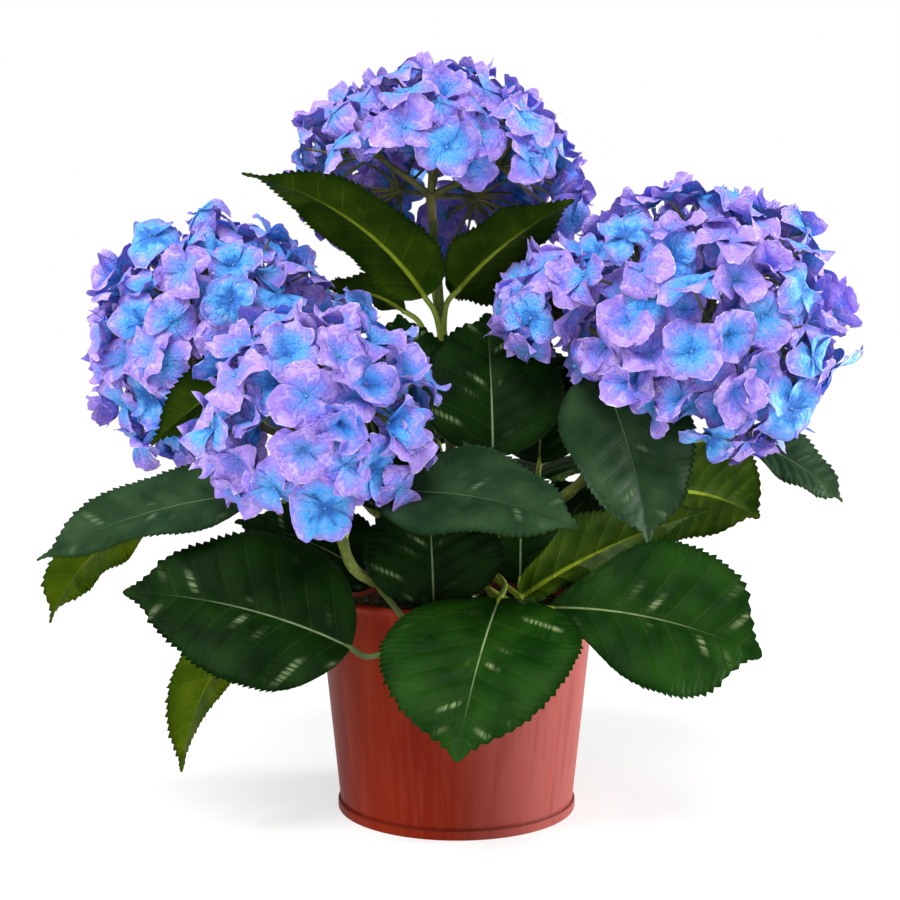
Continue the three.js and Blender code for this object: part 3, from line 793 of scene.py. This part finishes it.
def blade_outline(leaf, shares):
    """Share of the full width that a blade has, from its foot to its tip."""
    return np.sin(math.pi * shares**leaf.get("broadest", LEAF["broadest"])).clip(0)**LEAF["fullness"]


percents = np.linspace(0, 1, 101)
for name in ("front", "upper_left", "low_right"):
    print(name, "is broadest at", percents[blade_outline(LEAVES[name], percents).argmax()])

# %% [markdown]
# The height of the cloth over its flat shape has four parts: the fold along the midrib, the puffed
# panels between side veins, the rim that turns down, and slow waves along the rim. Each is a short
# formula of where a point lies along and across. The midrib's own ridge comes later, with the two
# skins.

# %% Shape of one blade
BLADE = dict(tooth=3.1, fewest_teeth=14, tooth_lead=0.7, vein_gaps=8.5, vein_sweep=0.62,
             vein_arch=0.004, puff=1.0, puff_half=14)


def blade_columns(half, count=10):
    """Distances from the midrib, in mm, for half a row of the given half width."""
    inner = np.array([0.0, 0.6, 1.5]) * min(1, half / 4)
    outer = inner[-1] + (half - inner[-1]) * (np.arange(1, count + 1) / count)
    return np.concatenate([inner, outer])


def tooth_depths(teeth, draws):
    """How far the rim stands out at each row."""
    rows = np.arange(3 * teeth + 1)
    depths = np.array([0.7 + 1.3 * draws() for _ in range(teeth + 1)])
    return np.array([0.0, 0.55, 1.0])[rows % 3] * depths[rows // 3]


def blade_sheet(leaf, draws):
    """The blade's middle surface as a grid, with its marks."""
    length, teeth = leaf["length"], max(BLADE["fewest_teeth"], round(leaf["length"] / BLADE["tooth"]))
    shares, middle, side, up, ahead = blade_frames(leaf, 3 * teeth)
    drawn_out = 1 - (0.32 + 0.28 * draws()) * np.exp(-(((shares - 0.945) / 0.075) ** 2))
    half = np.maximum(leaf["width"] / 2 * blade_outline(leaf, shares) * drawn_out, LEAF["tip"])
    half[0] = LEAF["petiole"]
    ease = np.clip(shares / 0.08, 0, 1) * np.clip((1 - shares) / 0.06, 0, 1)
    tooth, phase = tooth_depths(teeth, draws) * ease, TURN * draws()
    waves, wave_height, droop_edge = 1.5 + 1.5 * draws(), 1.2 + 1.2 * draws(), 0.05 + 0.10 * draws()
    rows, veins, measure = [], [], []
    for i, share in enumerate(shares):
        out = blade_columns(half[i] + tooth[i] - 0.5 * ease[i])
        across = np.concatenate([-out[::-1], out[1:]])
        off, along = np.abs(across), np.full_like(across, share)
        edge, arch = off / out[-1], BLADE["vein_arch"] * off**2
        count = (share * length - BLADE["vein_sweep"] * off + arch) / length * BLADE["vein_gaps"] + 100.5
        panel = np.abs(np.sin(math.pi * count))**0.8 * (1 - edge**5) * np.clip(off / 5, 0, 1)
        ruffle = np.sin(TURN * waves * share + phase + np.sign(across) * 1.1)
        rise = LEAF["fold"] * off + BLADE["puff"] * panel * min(1, half[i] / BLADE["puff_half"])
        rise += edge**3 * (wave_height * ruffle * ease[i] - droop_edge * half[i])
        forward = tooth[i] * BLADE["tooth_lead"] * edge**8
        parts = ((across, side[i]), (rise, up[i]), (forward, ahead[i]))
        rows.append(middle[i] + sum(np.outer(size, way) for size, way in parts))
        veins.append(np.stack([count, edge, along], axis=1))
        measure.append(np.stack([across, along * length, np.zeros_like(across)], axis=1))
    return np.array(rows), np.array(veins), np.array(measure), up


sheet = blade_sheet(LEAVES["upper_left"], seeded_draws(3))[0]
print("one blade's grid:", sheet.shape[:2], "points")

# %% [markdown]
# The petiole is a thin tube on a smooth line from the stem to the blade's foot. A Catmull-Rom line
# passes through all its points, which suits a stalk that has to clear the pot's rim on its way.

# %% Petiole line
def smooth_line(points, shares):
    """Centripetal Catmull-Rom line through the points."""
    points = [np.asarray(p, dtype=float) for p in points]
    points = [2 * points[0] - points[1], *points, 2 * points[-1] - points[-2]]
    line = []
    for share in shares:
        place = share * (len(points) - 3)
        i = min(int(place), len(points) - 4)
        t = place - i
        a, b, c, d = points[i:i + 4]
        gaps = [math.sqrt(np.linalg.norm(q - p)) for p, q in ((a, b), (b, c), (c, d))]
        start = ((b - a) / gaps[0] - (c - a) / (gaps[0] + gaps[1]) + (c - b) / gaps[1]) * gaps[1]
        end = ((c - b) / gaps[1] - (d - b) / (gaps[1] + gaps[2]) + (d - c) / gaps[2]) * gaps[1]
        square, cube = 3 * (c - b) - 2 * start - end, 2 * (b - c) + start + end
        line.append(b + start * t + square * t**2 + cube * t**3)
    return np.array(line)


def petiole_line(leaf):
    foot = np.array(leaf["foot"], dtype=float)
    ahead = towards(leaf["heading"], leaf["rise"])
    stops = [stem_curve(leaf["stem"])(leaf["at"])[0], foot - ahead * LEAF["neck"], foot]
    if "via" in leaf:
        stops.insert(1, leaf["via"])
    line = smooth_line(stops, np.linspace(0, 1, LEAF["petiole_rows"]))
    return np.vstack([line, foot + ahead * 4])


lengths = [length_of(petiole_line(leaf)) for leaf in LEAVES.values()]
print("petioles: %.0f to %.0f mm" % (min(lengths), max(lengths)))

# %% [markdown]
# Two skins are laid from the same sheet, about a fifth of a millimetre above and below it, and
# stitched round the rim, so a leaf is a closed thin body whose sides can wear different finishes. The
# midrib's ridge thickens the lower skin most. Each leaf also keeps its own flat pattern: the upper
# side on the left half of the cloth, the lower side on the right, and the petiole in a strip below.

# %% Skins and flat pattern
def stitched(sheet, up, rib):
    """Points and faces of two skins on one sheet, joined round the rim."""
    rows, columns = sheet.shape[:2]
    upper = sheet + up[:, None, :] * (LEAF["skin"] + 0.18 * rib)[..., None]
    lower = sheet - up[:, None, :] * (LEAF["skin"] + rib)[..., None]
    below = rows * columns
    index = np.arange(below).reshape(rows, columns)
    rim = np.concatenate([index[:, 0], index[-1, 1:], index[-2::-1, -1], index[0, -2:0:-1]])
    after = np.roll(rim, -1)
    seam = np.stack([rim, after, after + below, rim + below], axis=1)
    skins = [grid_faces(rows, columns)[:, ::-1], grid_faces(rows, columns, start=below)]
    return np.concatenate([upper.reshape(-1, 3), lower.reshape(-1, 3)]), [*skins, seam]


def leaf_pattern(leaf, share_along, across_mm):
    """Where each point of a leaf lies on its flat cloth."""
    u, v = (across_mm / leaf["width"] * 0.9 + 0.5) * 0.5, 0.07 + 0.92 * share_along
    skin = np.stack([u, v], axis=-1).reshape(-1, 2)
    skins = np.concatenate([skin, skin + [0.5, 0]]).clip(0.001, 0.999)
    rows, sides = LEAF["petiole_rows"] + 1, LEAF["petiole_sides"]
    strip = np.meshgrid(np.linspace(0.01, 0.99, rows), np.linspace(0.005, 0.05, sides), indexing="ij")
    return np.concatenate([skins, np.stack(strip, axis=-1).reshape(-1, 2)])


def finishes_of(name):
    """Finish of a leaf's upper side, lower side and petiole."""
    above = "leaf_upper"
    if name in GREY_SHEEN:
        above = "leaf_upper_grey_sheen"
    elif name in FRESH:
        above = "leaf_upper_fresh"
    below = "leaf_lower_painted_lit" if name in LIT_BELOW else "leaf_lower"
    petiole = petiole_painted_shade if name in SHADED_PETIOLES else petiole_lime
    return [leaf_finishes[above], leaf_finishes[below], petiole]


print("the leaf 'left' wears", [finish.name for finish in finishes_of("left")])

# %% Make the leaves
def leaf_piece(name, leaf):
    draws = seeded_draws(100 + len(name) * 31 + sum(map(ord, name)))
    sheet, veins, measure, up = blade_sheet(leaf, draws)
    share_along, across_mm = veins[..., 2], measure[..., 0]
    rib = 1.5 * (1 - 0.8 * share_along) * np.exp(-(across_mm / 1.2)**2)
    line = petiole_line(leaf)
    radii = LEAF["petiole"] * (1 + 0.35 * np.exp(-np.arange(len(line)) / 1.5))
    radii[-1] *= 0.6
    stalk = tube(line, radii, LEAF["petiole_sides"])
    points, faces = gather([stitched(sheet, up, rib), stalk])
    finish_of_face = np.repeat([0, 1, 1, 2, 2, 2], [len(f) for f in faces])
    blank = np.zeros_like(stalk[0])
    marks = {"veins": np.concatenate([veins.reshape(-1, 3)] * 2 + [blank]),
             "measure": np.concatenate([measure.reshape(-1, 3)] * 2 + [blank])}
    return make_piece("leaf_%s_cloth" % name, "leaf_cloth", points, faces, finishes_of(name),
                      "leaf_" + name, finish_of_face, leaf_pattern(leaf, share_along, across_mm), marks)


leaves = {name: leaf_piece(name, leaf) for name, leaf in LEAVES.items()}
print("leaf faces in all:", sum(faces_of(leaves).values()))

# %% [markdown]
# ## Where the florets sit
#
# A mophead is a dome of florets. Seeds in a sunflower follow the golden angle, and the same rule
# spreads florets evenly over a dome: each next one turns on by 137.5 degrees and steps outwards.
# A few draws then shake each floret's place, facing, turn and size. The solid of a head follows this
# rule with a few large florets. Here each dome gets more and smaller ones in two rows, and the
# deeper row closes the gaps of the outer one.

# %% Floret sites
FLORET = dict(radius=25)
STRAY = dict(turn=0.3, size=0.16, layer=0.06)
GOLDEN_ANGLE = math.pi * (3 - math.sqrt(5))


def dome_axes(dome):
    axis = towards(dome["heading"], 90 - dome["lean"])
    return (axis, *cross_axes(axis))


def floret_sites(dome, draw):
    """Place, facing, turn and size of each floret of a dome."""
    def shake(size):
        return (draw() - 0.5) * size

    axis, u, v = dome_axes(dome)
    across, along = dome["across"], dome["along"]
    sites = []
    for k in range(dome["florets"]):
        share = (k + 0.5) / dome["florets"]
        polar = math.acos(1 - share * (1 - math.cos(math.radians(dome["spread"]))))
        around = k * GOLDEN_ANGLE + shake(STRAY["turn"])
        layer = 1 + (k % 3 - 1) * STRAY["layer"]
        x, y, z = math.sin(polar) * math.cos(around), math.sin(polar) * math.sin(around), math.cos(polar)
        at = np.array(dome["centre"]) + ((u * x + v * y) * across + axis * z * along) * layer
        facing = u * (x + shake(STRAY["turn"])) + v * (y + shake(STRAY["turn"]))
        facing = facing + axis * (z * across / along + shake(STRAY["turn"]))
        spin = draw() * math.pi / 2
        sites.append(dict(at=at, facing=unit(facing), spin=spin, size=1 + shake(STRAY["size"])))
    return sites


# Each row of finer florets has a share of its dome's reach, of its florets and of their size.
FINER_ROWS = ((0.90, 2.35, 1.0), (0.74, 0.9, 0.9))
FINER = dict(size=0.69, turn=0.8, upward=0.12, cup=26, cup_stray=48)


def finer_sites(dome, draw):
    """The sites of a dome's two rows, each with the cup of its sepals in degrees."""
    sites, even = [], math.sin(math.radians(FINER["cup"]))
    for reach, share, smaller in FINER_ROWS:
        row = dict(dome, across=dome["across"] * reach, along=dome["along"] * reach,
                   florets=round(dome["florets"] * share))
        for site in floret_sites(row, draw):
            stray = np.array([draw() - 0.5, draw() - 0.5, draw() - 0.5 + FINER["upward"]])
            cup = FINER["cup"] + (draw() + draw() + draw() - 1.5) * FINER["cup_stray"]
            rim = math.sin(math.radians(cup)) - even
            at = site["at"] - site["facing"] * rim * 0.6 * FLORET["radius"] * FINER["size"]
            facing = unit(site["facing"] + stray * FINER["turn"])
            size = site["size"] * FINER["size"] * smaller
            sites.append(dict(site, at=at, facing=facing, size=size, cup=cup))
    return sites


sites_of_head = {}
for name, head in HEADS.items():
    draw = seeded_draws(head["seed"])
    sites_of_head[name] = [site for dome in head["domes"] for site in finer_sites(dome, draw)]
print("florets:", {name: len(sites) for name, sites in sites_of_head.items()})

# %% [markdown]
# ## The sepals' cloth
#
# What looks like a hydrangea's petals are four sepals. These are thin satin cloth, dyed from a sky
# blue eye through periwinkle to a lilac rim. Pale patches over it are a painted sheen, its crinkle
# ridges carry painted highlights, and a pale line at the rim is a painted highlight. The dye follows
# the sepal, so the finish doesn't read the place on the plant. It reads the place on the cut cloth
# instead: how far out from the eye, and how far across. The flat pattern has twelve strips, one for
# each mix of the dye bath, from bluest to most violet, and each floret is laid on one of them.

# %% Sepal finish
STRIPS = 12
BATHS = [(0.0, (0.035, 0.21, 0.70)), (0.16, (0.06, 0.39, 0.95)), (0.38, (0.15, 0.38, 0.95)),
         (0.60, (0.22, 0.26, 0.92)), (0.80, (0.335, 0.23, 0.88)), (1.0, (0.48, 0.30, 0.92))]


def sepal_cloth():
    finish = Finish("sepal_cloth", Roughness=0.62, Specular_IOR_Level=0.2, Sheen_Weight=0.08,
                    Sheen_Roughness=0.5)
    pattern = finish.node("ShaderNodeUVMap", uv_map="OFBake").outputs[0]
    out, up, _ = finish.split(pattern)
    strip_place = finish.times(up, STRIPS)
    strip = finish.maths("FLOOR", strip_place)
    across = finish.maths("SUBTRACT", finish.times(finish.maths("FRACT", strip_place), 2.2), 1.1)
    drift = finish.noise(pattern, 1.0, 3, stretch=(3, 4 * STRIPS, 1))
    fibre = finish.noise(pattern, 1.0, 2, stretch=(3, 26 * STRIPS, 1))
    crinkle = finish.noise(pattern, 1.0, 4, stretch=(14, 12 * STRIPS, 1))

    # On its way out the dye turns from blue to lilac, sooner at the sides and in the later baths.
    reach = finish.maths("ADD", out, finish.times(across, across, 0.16))
    reach = finish.maths("ADD", reach, finish.maths("SUBTRACT", drift, 0.5))
    reach = finish.maths("ADD", reach, finish.times(finish.maths("SUBTRACT", strip, 5.2), 0.055))
    dye = finish.node("ShaderNodeValToRGB")
    finish.feed(dye.inputs[0], reach)
    ramp = dye.color_ramp
    while len(ramp.elements) < len(BATHS):
        ramp.elements.new(0.5)
    for element, (position, colour) in zip(ramp.elements, BATHS):
        element.position, element.color = position, (*colour, 1)

    deep, rim_highlight = (0.12, 0.14, 0.62), (0.80, 0.78, 0.97)
    sheen_blue, sheen_lilac = (0.32, 0.62, 0.98), (0.60, 0.56, 0.96)
    tone = finish.blend(finish.step(fibre, 0.45, 0.75, 0, 0.16), dye.outputs[0], deep)
    # Pale patches over the cloth are a painted sheen, and the paler crinkle ridges are painted highlights.
    sheen_drifts, crease_highlights = finish.step(drift, 0.48, 0.68, 0, 0.5), finish.step(crinkle, 0.48, 0.74, 0, 0.35)
    painted_sheen = finish.times(finish.maths("ADD", sheen_drifts, crease_highlights), finish.step(out, 0.12, 0.45))
    tone = finish.blend(painted_sheen, tone, finish.blend(finish.step(reach, 0.3, 0.7), sheen_blue, sheen_lilac))
    # A pale line along the rim, broken by the crinkle, is a painted highlight.
    rim = finish.times(finish.step(out, 0.93, 0.99), finish.step(crinkle, 0.42, 0.66, 0.1, 1.0))
    tone = finish.blend(rim, tone, rim_highlight)
    relief = finish.bump(crinkle, 1.6, onto=finish.bump(fibre, 0.25))
    relief = finish.bump(drift, 3.0, onto=relief)
    return finish.wear(Base_Color=tone, Normal=relief)


sepal_finish = sepal_cloth()
print("sepal cloth nodes:", len(sepal_finish.node_tree.nodes))

# %% [markdown]
# ## One sepal, then thousands
#
# A sepal is a broad rounded fan, cupped along its middle, with a rim that rolls and waves. One grid
# holds the flat outline. Each sepal then bends it by numbers of its own: how far it lifts or hangs,
# how deep it is cupped, and the phase of its waves. Because it is all arrays, every sepal of a head
# goes into the mesh in one step.

# %% Flat outline of a sepal
SEPAL_ROWS, SEPAL_COLUMNS = 10, 13


def sepal_outline():
    """Each point's share of the way out and across, and its distances out and across in floret radii."""
    outs, sides = np.linspace(0.02, 1, SEPAL_ROWS), np.linspace(-1, 1, SEPAL_COLUMNS)
    out, side = np.meshgrid(outs, sides, indexing="ij")
    half = 0.09 + 0.48 * np.sin(math.pi * 0.66 * out)**0.85
    length = out * (1 - 0.27 * np.abs(side)**2.3 * out) + 0.035 * out**5 * (1 - np.abs(side))**2
    across = half * side * (1 - 0.07 * out**3 * side**2)
    return out, side, length, across


broadest = 2 * sepal_outline()[3].max() * FLORET["radius"] * FINER["size"]
print("a sepal is %.0f mm across at its broadest" % broadest)

# %% Bend one sepal
def bent_sepal(chance, cup, alternate):
    """Distance out, across and up of each point of one sepal, in floret radii."""
    out, side, length, across = sepal_outline()
    a, b, c, d, e = chance.uniform(0, TURN, 5)
    length = length * (1 + out**3 * (0.035 * np.sin(4.5 * side + a) + 0.014 * np.sin(12 * side + b)))

    # The middle line starts at the cup's slope and curls over on its way out.
    start = math.radians(cup + chance.normal(0, 13))
    end = start - math.radians(chance.uniform(15, 110))
    shares = np.linspace(0, 1.15, 24)
    slopes, stride = (start + (end - start) * shares**1.4)[:-1], np.diff(shares)
    reach = np.concatenate([[0], np.cumsum(np.cos(slopes) * stride)])
    lift = np.concatenate([[0], np.cumsum(np.sin(slopes) * stride)])
    radial, height = np.interp(length, shares, reach), np.interp(length, shares, lift)

    # Then it is cupped, waved, ruffled along its rim, tilted, and laid over or under its neighbours.
    height = height + chance.uniform(-0.10, 0.30) * side**2 * out
    height = height + 0.09 * out**2 * np.sin(2.6 * side + c) + 0.06 * out * np.sin(5 * out + 2.2 * side + d)
    height = height + out**3 * (0.05 * np.sin(5.5 * side + e) + 0.022 * np.sin(11 * side + a))
    height = height + chance.normal(0, 0.15) * side * out + 0.03
    height = height + alternate * 0.035 * np.clip(out * 3, 0, 1)
    return radial, across * (1 - 0.1 * np.abs(height)), height


trial = bent_sepal(np.random.default_rng(1), 30, 0)
print("a bent sepal rises %.2f of its radius" % trial[2].max())

# %% All the sepals of a head
def sepals(sites, seed):
    """Points, faces and cloth map of every sepal."""
    chance = np.random.default_rng(seed)
    out, side = sepal_outline()[:2]
    points, maps = [], []
    for site in sites:
        u, v = cross_axes(site["facing"])
        radius, strip = FLORET["radius"] * site["size"], int(chance.integers(STRIPS))
        cloth = np.stack([out * 0.98 + 0.01, (strip + 0.5 + 0.455 * side) / STRIPS], axis=-1)
        for k in range(4):
            angle = site["spin"] + k * math.pi / 2 + chance.normal(0, 0.07)
            outward = u * math.cos(angle) + v * math.sin(angle)
            sideways = v * math.cos(angle) - u * math.sin(angle)
            size = radius * (1 + chance.normal(0, 0.06))
            bent = np.stack(bent_sepal(chance, site["cup"], k % 2), axis=-1).reshape(-1, 3)
            points.append(site["at"] + size * bent @ np.array([outward, sideways, site["facing"]]))
            maps.append(cloth.reshape(-1, 2))
    each = SEPAL_ROWS * SEPAL_COLUMNS
    faces = [grid_faces(SEPAL_ROWS, SEPAL_COLUMNS, start=i * each) for i in range(len(points))]
    return np.concatenate(points), [np.concatenate(faces)], np.concatenate(maps)


def sepal_piece(name, sites):
    points, faces, cloth_map = sepals(sites, HEADS[name]["seed"])
    return make_piece("head_%s_sepals" % name, "blossom_cloth", points, faces, [sepal_finish],
                      "head_" + name, cloth_map=cloth_map)


blossoms = {name: sepal_piece(name, sites) for name, sites in sites_of_head.items()}
print("sepal faces:", faces_of(blossoms))

# %% [markdown]
# ## Eyes and pedicels
#
# In the middle of each floret sits a small closed bud, a bluish bead on the end of the pin that
# holds the four sepals together. Behind them the pins run as thin stalks, called pedicels, to a few
# knuckles, and thicker rays run from the knuckles to the top of the stem. They show wherever a head
# is seen from below.

# %% Eye finish and pedicel finish
eye_finish = mottled("floret_eye", dull=(0.03, 0.13, 0.42), fresh=(0.16, 0.40, 0.72),
                     patches=(1600, 2), grain=(1600, 2), depth=0.15, Roughness=0.45)
pedicel_finish = mottled("pedicel_plastic", dull=(0.07, 0.10, 0.015), fresh=(0.20, 0.19, 0.04),
                         patches=(90, 3), grain=(900, 2), depth=0.1, Roughness=0.6)
print("finishes:", eye_finish.name, pedicel_finish.name)

# %% Eyes
def bead(site):
    """A four-lobed bud, as a small cap that is open where it meets the sepals."""
    u, v = cross_axes(site["facing"])
    sides, profile = 12, ((0.2, 1.0), (0.8, 1.4), (1.4, 1.2), (1.8, 0.7), (2.0, 0.2))
    angles = np.arange(sides) * TURN / sides
    lobes = site["size"] * (1 + 0.16 * np.cos(4 * (angles - site["spin"]) + math.pi))
    rings = [site["at"] + site["facing"] * rise + circle(angles, reach * lobes, u, v)
             for rise, reach in profile]
    wall, _, crown = tube_faces(len(profile), sides)
    return np.concatenate(rings), [wall, crown]


def eye_piece(name, sites):
    beads = gather([bead(site) for site in sites])
    return make_piece("head_%s_eyes" % name, "blossom_cloth", *beads, [eye_finish])


eyes = {name: eye_piece(name, sites) for name, sites in sites_of_head.items()}
print("eye faces:", faces_of(eyes))

# %% Rays, knuckles and pedicels
KNUCKLE = dict(crown=0.45, ring=5, reach=0.5, spread=0.65)


def knuckles(dome):
    """Where the pedicels of a dome begin."""
    axis, u, v = dome_axes(dome)
    centre = np.array(dome["centre"], dtype=float)
    if dome["across"] < 2 * FLORET["radius"]:
        return [centre]
    polar = math.radians(dome["spread"] * KNUCKLE["spread"])
    outward = math.sin(polar) * dome["across"] * KNUCKLE["reach"]
    upward = math.cos(polar) * dome["along"] * KNUCKLE["reach"]
    turns = [k * TURN / KNUCKLE["ring"] for k in range(KNUCKLE["ring"])]
    ring = [centre + (u * math.cos(t) + v * math.sin(t)) * outward + axis * upward for t in turns]
    return [centre + axis * dome["along"] * KNUCKLE["crown"], *ring]


def bowed_tube(start, end, sag, away, thick, thin, sides):
    """A tapering tube on a gently bowed line between two points."""
    shares = np.linspace(0, 1, 7)[:, None]
    line = start + (end - start) * shares + away * sag * np.sin(shares * math.pi)
    return tube(line, np.linspace(thick, thin, 7), sides)


def pedicel_piece(name, sites):
    head, upright = HEADS[name], towards(*STEMS[name]["arrive"])
    draws, hub = seeded_draws(head["seed"] + 9), np.array(head["hub"], dtype=float)
    collar = [hub + upright * rise for rise in (-STEM["stalk"], -6, 2)]
    parts = [tube(collar, [2.3, 2.4, 3.2], 16)]
    joints = [joint for dome in head["domes"] for joint in knuckles(dome)]
    for joint in joints:
        away = cross_axes(unit(joint - hub))[0]
        parts.append(bowed_tube(hub, joint, 2.0 * (draws() - 0.5), away, 1.9, 1.5, 8))
        knuckle = [joint + upright * rise for rise in (-2.2, -1, 0, 1, 2.2)]
        parts.append(tube(knuckle, [0.8, 2.1, 2.6, 2.1, 0.8], 8))
    for site in sites:
        joint = min(joints, key=lambda j: np.linalg.norm(j - site["at"]))
        end, away = site["at"] - site["facing"] * 0.2, cross_axes(site["facing"])[1]
        parts.append(bowed_tube(joint, end, 5 * (draws() - 0.5), away, 0.95, 0.6, 6))
    return make_piece("head_%s_pedicels" % name, "stem_plastic", *gather(parts), [pedicel_finish])


pedicels = {name: pedicel_piece(name, sites) for name, sites in sites_of_head.items()}
print("pedicel faces:", faces_of(pedicels))

# %% [markdown]
# ## The studio
#
# The floor is pale and glows, so that it melts into the white surround. The surround looks full white
# to the camera but lights the plant more weakly, which keeps the shade under the leaves.
# A distant light in front and high up, soft as an overcast sun, does most of the lighting. A small
# light low on the right picks out the pot's side, and two broad weak ones help from the left and
# from the front.

# %% Floor and surround
WHITE = (1, 1, 1, 1)


def studio_floor():
    size = 12000.0
    points = np.array([[-size, -size, 0], [size, -size, 0], [size, size, 0], [-size, size, 0]])
    mesh = bpy.data.meshes.new("studio_floor")
    mesh.from_pydata((points * MM).tolist(), [], [(0, 1, 2, 3)])
    finish = Finish("floor_paint", Roughness=0.9, Specular_IOR_Level=0.1, Emission_Color=WHITE,
                    Emission_Strength=0.62)
    mottle = finish.noise(finish.place(), 3, 2)
    tone = finish.blend(mottle, (0.41, 0.41, 0.41), (0.43, 0.43, 0.43))
    mesh.materials.append(finish.wear(Base_Color=tone))
    add_object("studio_floor", mesh)


def surround(strength):
    """A world that the camera sees as white and that lights with the given strength."""
    world = bpy.data.worlds.new("surround")
    bpy.context.scene.world = world
    world.use_nodes = True
    nodes, links = world.node_tree.nodes, world.node_tree.links
    seen, lit = nodes["Background"], nodes.new("ShaderNodeBackground")
    for background, power in ((seen, 1.0), (lit, strength)):
        background.inputs["Color"].default_value = WHITE
        background.inputs["Strength"].default_value = power
    mix = nodes.new("ShaderNodeMixShader")
    links.new(nodes.new("ShaderNodeLightPath").outputs["Is Camera Ray"], mix.inputs[0])
    links.new(lit.outputs[0], mix.inputs[1])
    links.new(seen.outputs[0], mix.inputs[2])
    links.new(mix.outputs[0], nodes["World Output"].inputs["Surface"])


studio_floor()
surround(0.32)
print("floor and surround ready")

# %% Lights
def soft_light(name, place, aim, size, power):
    """A round lamp in metres, turned to shine at its aim."""
    lamp = bpy.data.lights.new(name, "AREA")
    lamp.shape, lamp.size, lamp.energy = "DISK", size, power
    light = add_object(name, lamp)
    light.location = place
    x, y, z = np.array(aim) - np.array(place)
    light.rotation_euler = (math.atan2(math.hypot(x, y), -z), 0, math.atan2(y, x) - math.pi / 2)


def distant_light(name, heading, rise, softness, power):
    """A light without a place, so the floor is as bright far off as near."""
    lamp = bpy.data.lights.new(name, "SUN")
    lamp.angle, lamp.energy = math.radians(softness), power
    add_object(name, lamp).rotation_euler = (math.radians(90 - rise), 0, math.radians(heading + 90))


distant_light("key_light", heading=-100, rise=55, softness=35, power=2.7)
soft_light("side_light", place=(1.2, 0.15, 0.3), aim=(0, 0, 0.1), size=0.35, power=20)
soft_light("left_light", place=(-1.2, -0.6, 1.1), aim=(-0.1, 0, 0.3), size=0.6, power=11)
soft_light("front_light", place=(0.15, -1.6, 0.12), aim=(0, 0, 0.28), size=1.0, power=6.5)
bpy.context.scene.view_settings.view_transform = "Standard"

# %% Camera
look_down = 5.226  # degrees
lens = bpy.data.cameras.new("portrait_lens")
lens.sensor_width = 36
lens.lens = 65.6
camera = add_object("portrait_camera", lens)
camera.location = (-0.0036, -0.888, 0.2775)
camera.rotation_euler = (math.radians(90 - look_down), 0, 0)
bpy.context.scene.camera = camera
print("camera", round(-camera.location.y, 3), "m in front")
